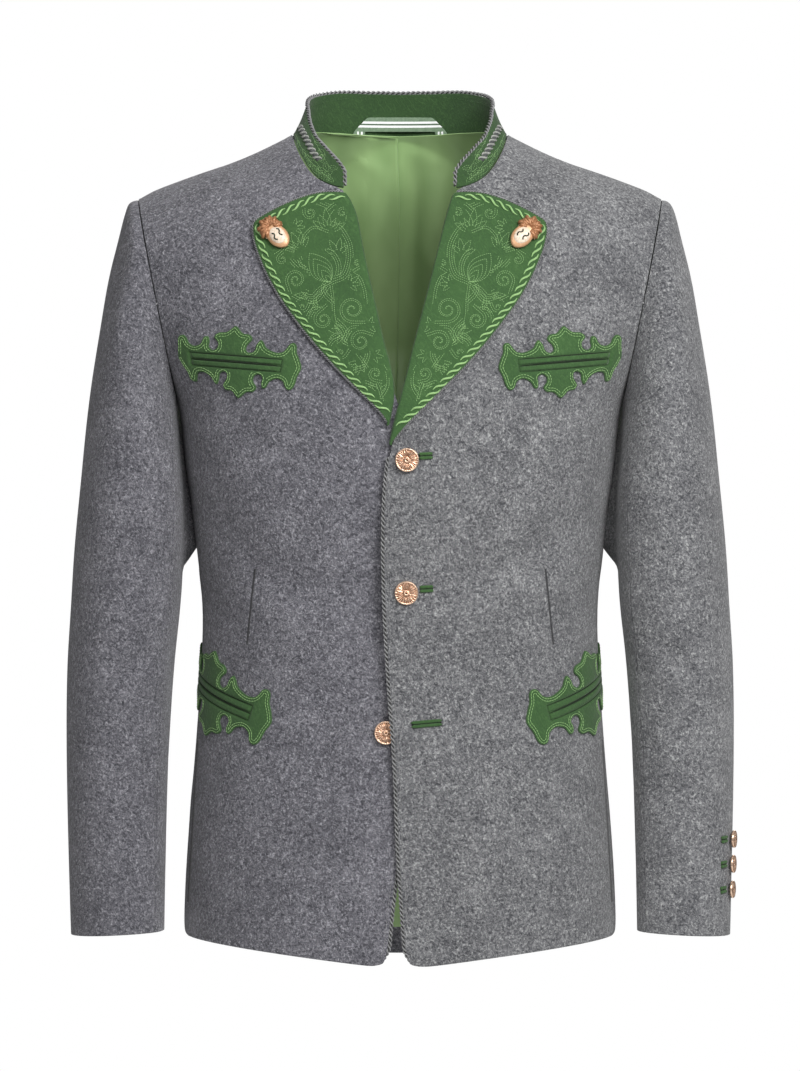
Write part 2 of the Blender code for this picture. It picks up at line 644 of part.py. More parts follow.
# Half of the patch's outline in half lengths and half heights, from its outer tip over the top
# to its inner tip, with the bulge of the arc to the next point: over 0 is a lobe, under 0 a
# hollow. The other half is the same turned round.
PATCH_HALF = (
    (1.00, 0.05, 0.20), (0.86, 0.70, -0.30), (0.68, 0.46, 0.22), (0.50, 0.70, -0.60),
    (0.38, 0.48, 0.30), (0.32, 0.80, -0.12), (0.08, 1.00, -0.12), (-0.15, 0.76, -0.60),
    (-0.20, 0.48, 0.35), (-0.32, 0.62, -0.15), (-0.66, 0.24, -0.30), (-0.80, 0.52, 0.18),
    (-1.00, -0.05, 0.0),
)
PATCH_OFF = 0.6
WELT_OFF = PATCH_OFF + FELT + GAP
# Name, own side centre x, z, half length, half height, tilt, welt length, height and shift outward.
POCKETS = (
    ("chest", 141.5, -177.0, 60.5, 31.0, 5.0, 88.0, 5.2, 2.0),
    ("side", 165.0, -465.0, 80.0, 37.0, 16.6, 112.0, 6.4, 0.0),
)


def arc_between(a, b, bulge, pieces):
    """Points from a to b, b left out, on an arc that rises to the left by bulge of the half chord."""
    a, b = np.array(a, float), np.array(b, float)
    share = np.arange(pieces) / pieces
    chord = b - a
    height = bulge * 2 * share * (1 - share)
    return a + chord * share[:, None] + np.array([chord[1], -chord[0]]) * height[:, None]


def patch_outline(half_length, half_height):
    size = np.array([half_length, half_height])
    half = []
    for (x, y, bulge), (next_x, next_y, _) in zip(PATCH_HALF, PATCH_HALF[1:]):
        half.append(arc_between((x, y) * size, (next_x, next_y) * size, bulge, 2 if abs(bulge) < 0.25 else 3))
    half = np.vstack(half)
    return np.vstack([half, -half])


def pocket_place(pocket, points):
    """Turns and heights on the body of points in a pocket's own plane, x outward and y up."""
    _, x, z, _, _, tilt, _, _, _ = pocket
    tilt = math.radians(tilt)
    points = np.asarray(points, float)
    out = points[..., 0] * math.cos(tilt) - points[..., 1] * math.sin(tilt)
    up = points[..., 0] * math.sin(tilt) + points[..., 1] * math.cos(tilt)
    turns = np.linspace(0, math.pi, 400)
    ring = bare_body(turns, np.full(400, float(z)))
    run = np.concatenate([[0], np.cumsum(np.linalg.norm(np.diff(ring, axis=0), axis=1))])
    start = np.interp(float(turn_at(x, z)), turns, run)
    return np.interp(start + out, run, turns), z + up


def build_patch(pocket, side):
    name, half_length, half_height = pocket[0], pocket[3], pocket[4]
    word = "left" if side == LEFT else "right"
    outline = patch_outline(half_length, half_height)
    spacing = half_length / 5
    inside = []
    for row in range(-4, 5):
        for column in range(-6, 7):
            point = np.array([(column + 0.5 * (row % 2)) * spacing, row * spacing * 0.86])
            gaps = np.linalg.norm(outline - point, axis=1)
            if gaps.min() > spacing * 0.42 and geometry_inside(point, outline):
                inside.append(point)
    flat = [Vector(point) for point in list(outline) + inside]
    ring = [list(range(len(outline)))]
    flat, _, faces, _, _, _ = geometry.delaunay_2d_cdt(flat, [], ring, 1, 1e-5)
    flat = np.array([tuple(point) for point in flat])
    turn, z = pocket_place(pocket, flat)
    points = on_body(turn, z, np.full(len(flat), PATCH_OFF)) * [side * MM, MM, MM]
    mesh = bpy.data.meshes.new(name)
    mesh.from_pydata(points.tolist(), [], [face if side == LEFT else face[::-1] for face in faces])
    mesh.shade_smooth()
    thicken(add_object(f"{name}_patch_{word}", mesh, FELT_GREEN), FELT, outward=True)


def geometry_inside(point, outline):
    """Whether a point lies inside a closed outline, by the crossings of a ray along x."""
    ends = np.roll(outline, -1, axis=0)
    spans = (outline[:, 1] > point[1]) != (ends[:, 1] > point[1])
    rise = np.where(spans, ends[:, 1] - outline[:, 1], 1)
    cross_x = outline[:, 0] + (point[1] - outline[:, 1]) / rise * (ends[:, 0] - outline[:, 0])
    return bool((spans & (point[0] < cross_x)).sum() % 2)


def build_welts(pocket, side):
    name, length, height, shift = pocket[0], pocket[6], pocket[7], pocket[8]
    word = "left" if side == LEFT else "right"
    for place, sign in (("upper", 1), ("lower", -1)):
        x = shift + np.linspace(-length / 2, length / 2, 9)
        low, high = sorted((sign * 0.5, sign * (0.5 + height)))
        grid = np.stack(np.meshgrid(x, [low, high]), axis=-1)
        turn, z = pocket_place(pocket, grid)
        points = on_body(turn, z, np.full(turn.shape, WELT_OFF))
        shell(f"{name}_welt_{place}_{word}", points, FELT, FELT_GREEN, side, outward=True)


# ---------------------------------------------------------------- buttonholes and buttons

# Centre x, z and height off the body's surface of each button on the left front.
BUTTONS_AT = ((6.0, -262.0, -0.3), (5.5, -376.0, 0.4))
FRONT_BUTTON, CUFF_BUTTON = 10.4, 7.9  # radii
# Centre x, z, length, tilt in degrees and height of each piped buttonhole on the left front.
BUTTONHOLES = ((22.0, -258.5, 11.5, 0, -0.5), (22.5, -372.5, 11.5, 0, 0.4), (22.5, -489.0, 26.0, 4, 0.4))
HOLE_HEIGHT, HOLE_WALL = 4.2, 0.8
CUFF_BUTTONS_DOWN = (547.0, 569.0, 591.0)
CUFF_BUTTON_ANGLE = {LEFT: 21.0, RIGHT: -48.0}
CUFF_HOLE_SHIFT, CUFF_HOLE = 15.5, 8.0
CUFF_BUTTON_OUT = 0.25
CUFF_HOLE_OUT = {LEFT: 0.4, RIGHT: -0.5}
# Turned profile of a button: share of its radius, height.
BUTTON_PROFILE = ((0, 2.4), (0.24, 2.6), (0.42, 3.3), (0.74, 4.1), (0.92, 3.6), (1.0, 2.2), (0.86, 0.6), (0, 0))


def build_buttonholes():
    for number, (x, z, length, tilt, out) in enumerate(BUTTONHOLES, 1):
        along = np.linspace(-length / 2, length / 2, 4)
        grid = np.stack(np.meshgrid(along, [-HOLE_HEIGHT / 2, HOLE_HEIGHT / 2]), axis=-1)
        angle = math.radians(tilt)
        hole_x = x + grid[..., 0] * math.cos(angle) - grid[..., 1] * math.sin(angle)
        hole_z = z + grid[..., 0] * math.sin(angle) + grid[..., 1] * math.cos(angle)
        points = on_body(turn_at(hole_x, hole_z), hole_z, np.full(hole_x.shape, out), True)
        shell(f"buttonhole_{number}", points, HOLE_WALL, FELT_GREEN, LEFT, outward=True)


def turned(name, radius, height_scale, centre, normal, material, steps=16):
    """A button: its profile turned round an axis that stands on a cloth surface."""
    profile = [(share * radius, height * height_scale) for share, height in BUTTON_PROFILE]
    mesh = bpy.data.meshes.new(name)
    mesh.from_pydata([(x * MM, 0, z * MM) for x, z in profile], [(i, i + 1) for i in range(len(profile) - 1)], [])
    made = add_object(name, mesh, material)
    screw = made.modifiers.new("turn", "SCREW")
    screw.steps = screw.render_steps = steps
    screw.use_merge_vertices = True
    screw.merge_threshold = 1e-5
    screw.use_smooth_shade = True
    spin = Vector(normal).to_track_quat("Z", "Y").to_matrix().to_4x4()
    made.matrix_world = Matrix.Translation(Vector(centre) * MM) @ spin
    return made


def build_buttons():
    for number, (x, z, out) in enumerate(BUTTONS_AT + (LOW_BUTTON + (0.5,),), 1):
        turn = turn_at(x, z)
        normal = body_normal(turn, z)
        if number < 3:
            out = out + float(lift(bare_body(turn, z)))
        turned(f"front_button_{number}", FRONT_BUTTON, 1.0, bare_body(turn, z) + normal * out, normal, ROSE_METAL)


def build_cuff(side):
    word = "left" if side == LEFT else "right"
    angle = math.radians(CUFF_BUTTON_ANGLE[side])
    for number, down in enumerate(CUFF_BUTTONS_DOWN, 1):
        place = sleeve_surface(np.array(down), np.array(angle), side)
        along = sleeve_surface(np.array(down + 1.0), np.array(angle), side) - place
        round_it = sleeve_surface(np.array(down), np.array(angle + 0.02), side) - place
        normal = unit(np.cross(round_it, along))
        centre = (place + normal * CUFF_BUTTON_OUT) * [side, 1, 1]
        turned(f"cuff_button_{number}_{word}", CUFF_BUTTON, 0.8, centre, normal * [side, 1, 1], ROSE_METAL, 10)
        radius = 48.0
        shares = (CUFF_HOLE_SHIFT + np.linspace(-CUFF_HOLE / 2, CUFF_HOLE / 2, 3)) / radius
        heights = down + np.array([-HOLE_HEIGHT / 2, HOLE_HEIGHT / 2]) * 0.9
        hole_angle, hole_down = np.meshgrid(angle + shares, heights)
        points = sleeve_surface(hole_down, hole_angle, side)
        across = np.gradient(points, axis=1)
        down_it = np.gradient(points, axis=0)
        points = points + unit(np.cross(across, down_it)) * CUFF_HOLE_OUT[side]
        shell(f"cuff_buttonhole_{number}_{word}", points, HOLE_WALL, FELT_GREEN, side, outward=True)


# ---------------------------------------------------------------- studs, lining, hanger loop

STUD_AT = (112.5, -66.0)  # centre on the lapel, own side
STUD_LENGTH, STUD_TILT = 30.0, 42.0  # its axis falls toward the centre front
# Turned stud: share of its length from the crown's top, radius. The crown is knobbly.
STUD_PROFILE = (
    (0, 0), (0.02, 6.5), (0.10, 12.0), (0.22, 14.6), (0.34, 13.6), (0.42, 9.0), (0.50, 8.0),
    (0.66, 8.4), (0.84, 7.4), (0.96, 4.0), (1, 0),
)
STUD_FLAT = 0.42
CROWN_KNOBS, CROWN_DEPTH, CROWN_END = 7, 0.15, 0.44
LINING_OFF = LODEN + 2.3
LOOP_WALL, LOOP_DEPTH = 0.8, 61.3
# Outer and inner edge x, z of the ribbon, from the sewn end to the middle of the bar.
LOOP_HALF = (
    (-42.3, 31.8, -31.6, 31.8), (-41.6, 34.8, -31.4, 34.4), (-29.2, 47.4, -28.6, 34.6),
    (-20, 47.6, -20, 34.6), (0, 47.8, 0, 34.8),
)


def build_stud(side):
    """A crown and its smooth stub, a flattened turned form that lies on the lapel."""
    word = "left" if side == LEFT else "right"
    steps = 14
    angle = np.arange(steps) * 2 * math.pi / steps
    points, faces = [], []
    for share, radius in STUD_PROFILE[1:-1]:
        crown = np.clip((CROWN_END - share) / 0.1, 0, 1)
        ring = radius * (1 + crown * CROWN_DEPTH * np.cos(CROWN_KNOBS * angle))
        points += [(r * math.cos(a), r * math.sin(a) * STUD_FLAT, share * STUD_LENGTH)
                   for r, a in zip(ring, angle)]
    rings = len(STUD_PROFILE) - 2
    for row in range(rings - 1):
        for step in range(steps):
            a, b = row * steps + step, row * steps + (step + 1) % steps
            faces.append((a, a + steps, b + steps, b))
    points += [(0, 0, 0), (0, 0, STUD_LENGTH)]
    first, last = len(points) - 2, len(points) - 1
    for step in range(steps):
        after = (step + 1) % steps
        faces.append((first, step, after))
        faces.append((last, (rings - 1) * steps + after, (rings - 1) * steps + step))
    x, z = STUD_AT
    turn = turn_at(x, z)
    normal = body_normal(turn, z)
    centre = bare_body(turn, z) + normal * (FACING_TOP + 0.6 + 15.4 * STUD_FLAT)
    tilt = math.radians(STUD_TILT)
    axis = np.array([-math.cos(tilt), 0, -math.sin(tilt)])
    axis = unit(axis - normal * (axis @ normal))
    across = np.cross(normal, axis)
    world = np.array(points)
    world = centre + (world[:, :1] * across + world[:, 1:2] * normal + (world[:, 2:] - STUD_LENGTH / 2) * axis)
    world = world * [side * MM, MM, MM]
    mesh = bpy.data.meshes.new("stud")
    mesh.from_pydata(world.tolist(), [], faces)
    mesh.shade_smooth()
    work = bmesh.new()
    work.from_mesh(mesh)
    bmesh.ops.recalc_face_normals(work, faces=work.faces)
    work.to_mesh(mesh)
    work.free()
    add_object(f"lapel_stud_{word}", mesh, ROSE_METAL)


LINING_ACROSS = np.array([0, 0.12, 0.26, 0.41, 0.56, 0.71, 0.84, 0.95, 1])
LINING_UP = np.concatenate([PANEL_UP[PANEL_UP < 1 - ARCH_SHARE][[0, *range(2, 15)]],
                            1 - ARCH_SHARE * (1 - arch_rows(4))[:-2], [0.99985]])
LINING_NECK = -0.3  # its top edge lies this far below the neckline
LINING_HEM = 24.0  # the lining ends this far above the hem


def build_lining():
    grid = back_grid(LINING_ACROSS, 4, LINING_UP, LINING_NECK)
    turn, z = grid[..., 0], grid[..., 1]
    z = z + LINING_HEM * (1 - np.clip((z - z.min()) / 150, 0, 1))
    turn = turn + 1.5 / BODY[8][1] * LINING_ACROSS[None] ** 6
    points = on_body(turn, z, np.full(turn.shape, -LINING_OFF))
    shell("lining_back", whole_back(points), SATIN, SATIN_GREEN)


def build_loop():
    """Ribbon loop at the back of the neck: a bar whose ends are folded down and sewn in."""
    half = np.array(LOOP_HALF, float).reshape(-1, 2, 2)
    rows = np.concatenate([half, half[-2::-1] * [-1, 1]])
    y = LOOP_DEPTH - abs(rows[..., 0]) ** 2 * 0.0042
    points = np.stack([rows[..., 0], y, rows[..., 1]], axis=-1)
    shell("hanger_loop", points.transpose(1, 0, 2), LOOP_WALL, RIBBON)


for side in (LEFT, RIGHT):
    build_front(side)
    build_sleeve(side)
    build_lapel(side)
    build_lapel_cord(side)
    build_front_cord(side)
    for pocket in POCKETS:
        build_patch(pocket, side)
        build_welts(pocket, side)
    build_cuff(side)
    build_stud(side)
build_back()
build_lining()
build_collar()
build_buttonholes()
build_buttons()
build_loop()
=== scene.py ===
"""Tyrolean loden jacket, hollow as worn: the cloths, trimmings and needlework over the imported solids."""

import math

import bmesh
import bpy
import numpy as np
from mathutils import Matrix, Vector, geometry
from mathutils.bvhtree import BVHTree


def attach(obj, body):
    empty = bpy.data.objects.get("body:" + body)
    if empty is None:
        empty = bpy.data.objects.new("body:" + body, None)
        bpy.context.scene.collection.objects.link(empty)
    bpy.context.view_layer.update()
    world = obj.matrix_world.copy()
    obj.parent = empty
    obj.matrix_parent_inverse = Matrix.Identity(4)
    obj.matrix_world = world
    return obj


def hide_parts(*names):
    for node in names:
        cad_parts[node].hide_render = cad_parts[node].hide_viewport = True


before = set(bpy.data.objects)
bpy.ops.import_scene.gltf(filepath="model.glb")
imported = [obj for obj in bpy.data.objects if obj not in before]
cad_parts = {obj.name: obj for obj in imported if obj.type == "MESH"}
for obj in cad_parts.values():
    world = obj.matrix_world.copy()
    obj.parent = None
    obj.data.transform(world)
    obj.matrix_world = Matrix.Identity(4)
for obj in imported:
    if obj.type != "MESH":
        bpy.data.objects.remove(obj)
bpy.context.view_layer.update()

# ---------------------------------------------------------------- loden fronts and back
# Fulled grey wool, mottled and slightly hairy, cut as one back and two fronts. They are joined
# at the shoulders and sides, pressed flat, and drag softly toward the buttons that close them.

LEFT, RIGHT = 1, -1
SIDE_WORD = {LEFT: "left", RIGHT: "right"}
MM = 0.001
WELD = 2e-5  # corners this close are one
RIM_ANGLE, RIM_CREASE = math.radians(42), 0.45  # cut edges keep their line when a wall is rounded
JOIN_ANGLES = math.radians(40), math.radians(60)  # triangles this flat are joined into quads this square
LIT_GREY, SHADED_GREY = (1.06, 1.07, 1.04), (0.96, 0.945, 1.0)  # lit and shaded copies of the one grey loden's colour: painted light and shade
FIBRE_STRETCH = 0.25  # how much slower a fibre's pattern changes along it


class Shade:
    """A value in a material's nodes. Sums on it add Math nodes, and make() adds any other node."""

    def __init__(self, tree, socket=None):
        self.tree, self.socket = tree, socket

    def make(self, kind, settings=None, inputs=None, out=0):
        node = self.tree.nodes.new("ShaderNode" + kind)
        for key, value in (settings or {}).items():
            setattr(node, key, value)
        for key, value in (inputs or {}).items():
            if isinstance(value, Shade):
                self.tree.links.new(value.socket, node.inputs[key])
            else:
                node.inputs[key].default_value = value
        return Shade(self.tree, node.outputs[out])

    def math(self, operation, *values):
        return self.make("Math", {"operation": operation}, dict(enumerate(values)))

    def mixed(self, first, second):
        """Two colours mixed by this value."""
        return self.make("Mix", {"data_type": "RGBA"}, {0: self, 6: first, 7: second}, 2)

    def ramp(self, *stops):
        """The colour that this value picks between stops, each a place and a colour."""
        colour = self.make("ValToRGB", None, {0: self})
        elements = colour.socket.node.color_ramp.elements
        while len(elements) < len(stops):
            elements.new(0.5)
        for element, (place, shown) in zip(elements, stops):
            element.position = place
            element.color = (*shown, 1)
        return colour

    def bump(self, strength, distance):
        """The normal of a surface that this value raises."""
        return self.make("Bump", None, {"Strength": strength, "Distance": distance, "Height": self})

    def part(self, number):
        """One part of a place: 0 for x, 1 for y, 2 for z."""
        return self.make("SeparateXYZ", None, {0: self}, number)

    def between(self, low, high):
        """0 below low, 1 above high, and a soft step between."""
        return self.make("MapRange", {"interpolation_type": "SMOOTHSTEP"}, {0: self, 1: low, 2: high})

    def __add__(self, other):
        return self.math("ADD", self, other)

    def __sub__(self, other):
        return self.math("SUBTRACT", self, other)

    def __rsub__(self, other):
        return self.math("SUBTRACT", other, self)

    def __mul__(self, other):
        return self.math("MULTIPLY", self, other)

    __radd__, __rmul__ = __add__, __mul__


def finish_of(name, paint, **constants):
    """A material: paint gets the surface's place, and returns what varies over it."""
    material = bpy.data.materials.new(name)
    material.use_nodes = True
    tree = material.node_tree
    surface = tree.nodes["Principled BSDF"]
    for socket, value in constants.items():
        surface.inputs[socket.replace("_", " ")].default_value = value
    place = Shade(tree).make("TexCoord", out=3)
    for socket, value in paint(place).items():
        tree.links.new(value.socket, surface.inputs[socket])
    return material


def noise(place, size, detail=2.0, roughness=0.5, distortion=0.0):
    """Noise whose features are about size metres wide."""
    return place.make("TexNoise", None, {
        "Vector": place, "Scale": 1 / size, "Detail": detail, "Roughness": roughness,
        "Distortion": distortion})


def stretched(place, x, y, z):
    return place.make("VectorMath", {"operation": "MULTIPLY"}, {0: place, 1: (x, y, z)})


def hairs(place, size, turn, thin, shift=0.0):
    """Short fibres at a turn: lines where a stretched noise passes its middle, broken into lengths."""
    moved = place.make("VectorMath", {"operation": "ADD"}, {0: place, 1: (shift, shift * 0.7, -shift)})
    turned = moved.make("VectorRotate", {"rotation_type": "Y_AXIS"}, {"Vector": moved, "Angle": turn})
    off = noise(stretched(turned, 1.0, 0.6, FIBRE_STRETCH), size, 0.6, 0.4, 0.35) - 0.5
    broken = noise(moved, size, 0).between(0.42, 0.58)
    return (1 - off.math("ABSOLUTE", off).between(0.0, thin)) * broken


def seam_gap(place, start, end):
    """Distance of a place from a seam's straight run x, z in millimetres, seen from the front."""
    x, z = place.part(0) - start[0] * MM, place.part(2) - start[1] * MM
    run = ((end[0] - start[0]) * MM, (end[1] - start[1]) * MM)
    square = run[0] ** 2 + run[1] ** 2
    share = x * (run[0] / square) + z * (run[1] / square)
    share = share.math("MAXIMUM", share.math("MINIMUM", share, 1.0), 0.0)
    x, z = x - share * run[0], z - share * run[1]
    return x.math("SQRT", x * x + z * z)


def loden(name, cast, depth, seams=()):
    """Mottled hairy wool: clumps, specks and fibres at six turns, with pressed seams as grooves."""
    def paint(place):
        clumps = noise(place, 0.0048, 2, 0.5, 0.5)
        specks = noise(place, 0.0010, 2, 0.6, 0.6)
        upright = hairs(place, 0.0022, 0.25, 0.085)
        level = hairs(place, 0.0024, 1.35, 0.080, 0.31)
        slant = hairs(place, 0.0022, 2.30, 0.080, 0.77)
        loose = hairs(place, 0.0027, 2.85, 0.072, 2.13)
        hollow = hairs(place, 0.0023, 0.80, 0.095, 1.43)
        deep = hairs(place, 0.0027, 1.85, 0.090, 3.07)
        cloud = noise(place, 0.040, 3, 0.6)
        grey = (clumps - 0.5) * 0.20 + (specks - 0.5) * 0.42 + (cloud - 0.5) * 0.36 + 0.36
        grey = grey + upright * 0.24 + level * 0.22 + slant * 0.20 + loose * 0.20
        grey = grey - hollow * 0.24 - deep * 0.20
        colour = grey.ramp((0.08, (0.040, 0.041, 0.048)), (0.36, (0.118, 0.118, 0.129)),
                           (0.58, (0.222, 0.222, 0.234)), (0.95, (0.440, 0.440, 0.450)))
        colour = grey.make("Mix", {"data_type": "RGBA", "blend_type": "MULTIPLY"},
                           {0: 1.0, 6: colour, 7: (*[part * depth for part in cast], 1)}, 2)
        relief = clumps * 0.4 + specks * 0.5 + upright * 0.5 + level * 0.5 + slant * 0.4 - hollow * 0.4
        for start, end in seams:
            groove = 1 - seam_gap(place, start, end).between(0.0003, 0.0014)
            colour = groove.mixed(colour, (0.022, 0.022, 0.025, 1))
            relief = relief - groove * 1.2
        return {"Base Color": colour, "Normal": relief.bump(0.6, 0.0012)}

    return finish_of(name, paint, Roughness=0.95, Sheen_Weight=0.2, Sheen_Roughness=0.55)


DART, SIDE_LINE = ((126, -357), (133, -421)), ((178, -508), (186, -648))
darts = {side: [[(side * x, z) for x, z in run] for run in (DART, SIDE_LINE)] for side in (LEFT, RIGHT)}
# Lit and shaded copies of the one loden, their brightness painted light and shade: the left front and left
# sleeve, turned toward the key light, are lighter and more neutral; the right front, and the back, right
# sleeve and lapel backs, are darker.
loden_left = loden("loden_lit_left_front", LIT_GREY, 0.98, darts[LEFT])
loden_right = loden("loden_shaded_right_front", SHADED_GREY, 0.96, darts[RIGHT])
loden_grey = loden("loden_grey", SHADED_GREY, 0.90)
loden_lit_sleeve = loden("loden_lit_left_sleeve", LIT_GREY, 1.02)


def linked(name, data):
    """An object in the scene."""
    made = bpy.data.objects.new(name, data)
    bpy.context.scene.collection.objects.link(made)
    return made


def add_piece(name, mesh, material, slot, *stands_for):
    """A piece on the jacket's one body, which takes the place of the named solids."""
    made = linked(name, mesh)
    mesh.materials.clear()
    mesh.materials.append(material)
    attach(made, "root")
    if stands_for:
        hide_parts(*stands_for)
    return made


def welded(node):
    """A CAD form with its doubled corners joined."""
    work = bmesh.new()
    work.from_mesh(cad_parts[node].data)
    bmesh.ops.remove_doubles(work, verts=work.verts, dist=WELD)
    return work


def fine_mesh(node, rounds=2):
    """A node's walls as quads, rounded by Catmull-Clark subdivision."""
    work = welded(node)
    bmesh.ops.join_triangles(work, faces=work.faces, angle_face_threshold=JOIN_ANGLES[0],
                             angle_shape_threshold=JOIN_ANGLES[1])
    rim = work.edges.layers.float.new("crease_edge")
    for edge in work.edges:
        edge[rim] = RIM_CREASE * (edge.calc_face_angle(0) > RIM_ANGLE)
    mesh = bpy.data.meshes.new(node + "_fine")
    work.to_mesh(mesh)
    work.free()
    made = linked(node + "_fine", mesh)
    rounding = made.modifiers.new("round", "SUBSURF")
    rounding.levels = rounding.render_levels = rounds
    fine = bpy.data.meshes.new_from_object(made.evaluated_get(bpy.context.evaluated_depsgraph_get()))
    bpy.data.objects.remove(made)
    fine.shade_smooth()
    return fine


def points_of(mesh):
    points = np.empty(len(mesh.vertices) * 3)
    mesh.vertices.foreach_get("co", points)
    return points.reshape(-1, 3)


def set_points(mesh, points):
    mesh.vertices.foreach_set("co", points.ravel())
    mesh.update()


def ease(share):
    share = np.clip(share, 0, 1)
    return share * share * (3 - 2 * share)


def unit(vectors):
    return vectors / np.maximum(np.linalg.norm(vectors, axis=-1, keepdims=True), 1e-12)


def fold_heights(flat, folds):
    """Height at each flat point of soft folds, each a width, a height and a line of points in mm."""
    total = np.zeros(len(flat))
    for width, height, *line in folds:
        line = np.array(line, float) * MM
        nearest, along = np.full(len(flat), 9.0), np.zeros(len(flat))
        for number, (start, end) in enumerate(zip(line, line[1:])):
            run = end - start
            share = np.clip((flat - start) @ run / (run @ run), 0, 1)
            gap = np.linalg.norm(flat - start - share[:, None] * run, axis=1)
            closer = gap < nearest
            nearest = np.where(closer, gap, nearest)
            along = np.where(closer, (number + share) / (len(line) - 1), along)
        fade = np.sin(np.pi * np.clip(along, 0.04, 0.96)) ** 0.7
        total += height * MM * fade * np.exp(-((nearest / (width * MM)) ** 2))
    return total


# Width, height and route x, z of each fold; a height under 0 is a trough.
BACK_FOLDS = (
    (17, -2.2, (-176, -318), (-110, -352), (-48, -360)), (16, 1.8, (-172, -362), (-96, -392), (-30, -398)),
    (15, -2.0, (178, -300), (118, -344), (52, -356)), (17, 1.6, (170, -356), (104, -388), (36, -402)),
    (20, -1.8, (-120, -96), (-140, -160), (-150, -230)), (20, -1.8, (122, -92), (143, -165), (150, -236)),
    (26, 1.6, (-60, -440), (-76, -540), (-84, -640)), (24, -1.6, (30, -450), (44, -560), (52, -660)),
    (22, 1.4, (118, -440), (126, -540), (130, -640)), (13, -1.2, (-40, 10), (0, 2), (40, 10)),
)
RIGHT_FRONT_FOLDS = (
    (14, -2.6, (-181, -289), (-129, -349), (-77, -376), (-21, -377)),
    (16, 2.0, (-164, -352), (-95, -401), (-40, -408)),
    (11, -1.5, (-172, -211), (-119, -250), (-60, -271)), (22, -2.2, (-30, -426), (-69, -521), (-151, -607)),
    (13, -3.2, (-24, -318), (-20, -395), (-26, -480)), (20, 1.6, (-56, -430), (-110, -500), (-168, -560)),
    (10, -1.2, (-146, -60), (-152, -120), (-150, -165)),
)
LEFT_FRONT_FOLDS = (
    (13, -2.6, (180, -300), (112, -345), (34, -375)), (14, 2.0, (172, -349), (86, -383), (24, -402)),
    (10, -1.5, (170, -211), (103, -233), (34, -246)), (9, -2.0, (10, -431), (47, -457), (84, -482)),
    (16, -2.0, (69, -517), (95, -556), (116, -599)), (22, 1.8, (28, -504), (60, -573), (69, -642)),
    (10, -1.2, (146, -60), (152, -120), (150, -165)),
)
BODY_WIDE, BODY_DEEP = 190, 118  # half sizes of the body's section, in millimetres
FOLD_DEPTH, SHOULDER_DROP = 2.0, 1.6  # the folds' scale, and how far the shoulders' ends give
SHOULDER_END, SHOULDER_REACH = (0.231, 0, 0.028), 0.010  # where they are, and how far round them it gives
# A front's free edge swings outward below the last button: how far each swings at the hem, half the
# width that moves and where that dies out, and the height it starts at with the drop it takes.
PARTING = {RIGHT: 0.0032, LEFT: 0.0010}
PARTED_WIDE, PARTED_FADE, PARTED_TOP, PARTED_DROP = 0.035, 0.02, -0.56, 0.12
RAY_START, NEAR_CLOTH = 0.6, 0.42  # from the body's axis, and how far in cloth is sought if none is met


def body_outward(points):
    """Level directions away from the body's axis, for its flattened round section."""
    spread = np.array([1 / BODY_WIDE**2, 1 / BODY_DEEP**2, 0])
    return unit(points * spread)


def creased(mesh, outward, folds, depth=1.0):
    """A cloth with its folds raised outward and the shoulders' ends let down."""
    points = points_of(mesh)
    points += outward(points) * fold_heights(points[:, [0, 2]], folds)[:, None] * depth
    shoulder = np.linalg.norm((abs(points) - SHOULDER_END) * [1, 0.35, 1], axis=1)
    points[:, 2] -= SHOULDER_DROP * MM * np.exp(-((shoulder / SHOULDER_REACH) ** 2))
    set_points(mesh, points)
    return mesh


def parted(mesh, side):
    """A front whose free edge swings outward below the last button."""
    points = points_of(mesh)
    near = ease((PARTED_WIDE - side * points[:, 0]) / PARTED_FADE)
    points[:, 0] += side * PARTING[side] * near * ease((PARTED_TOP - points[:, 2]) / PARTED_DROP)
    set_points(mesh, points)
    return mesh


class Surface:
    """A cloth's outer face, on which trimmings are laid."""

    def __init__(self, *pieces):
        points, faces = [], []
        for piece in pieces:
            faces += [[index + len(points) for index in face.vertices] for face in piece.data.polygons]
            points += [vertex.co.copy() for vertex in piece.data.vertices]
        self.tree = BVHTree.FromPolygons(points, faces)

    def hit(self, start, along, out=0.0, reach=2.0, near=1.0):
        """The first point that a ray meets within reach, moved out along its normal, and that normal."""
        place, normal, _, _ = self.tree.ray_cast(Vector(start), Vector(along), reach)
        if place is None:
            place, normal, _, _ = self.tree.find_nearest(Vector(start) + Vector(along) * near)
        return np.array(place + normal * out), np.array(normal)

    def ahead(self, x, z):
        """The point seen from straight in front."""
        return self.hit((x, -1, z), (0, 1, 0))

    def around(self, turn, z):
        """The point at a turn round the body, 0 at centre front, seen from outside."""
        level = np.array([math.sin(turn), -math.cos(turn), 0])
        return self.hit((*(level * RAY_START)[:2], z), -level, 0.0, RAY_START, NEAR_CLOTH)


def panel(node, mesh, folds, finish):
    """One panel of the body's loden, with its folds."""
    mesh = creased(mesh, body_outward, folds, FOLD_DEPTH)
    return add_piece("loden_" + node, mesh, finish, "loden_grey", node)


back = panel("back", fine_mesh("back"), BACK_FOLDS, loden_grey)
front_right = panel("front_right", parted(fine_mesh("front_right"), RIGHT), RIGHT_FRONT_FOLDS, loden_right)
front_left = panel("front_left", parted(fine_mesh("front_left"), LEFT), LEFT_FRONT_FOLDS, loden_left)

# ---------------------------------------------------------------- sleeves
# Two-piece sleeves of the same loden. Each top sleeve is eased into the armhole, so its head
# stands a little proud of the seam, and the arm's bend leaves short slack creases below the elbow.

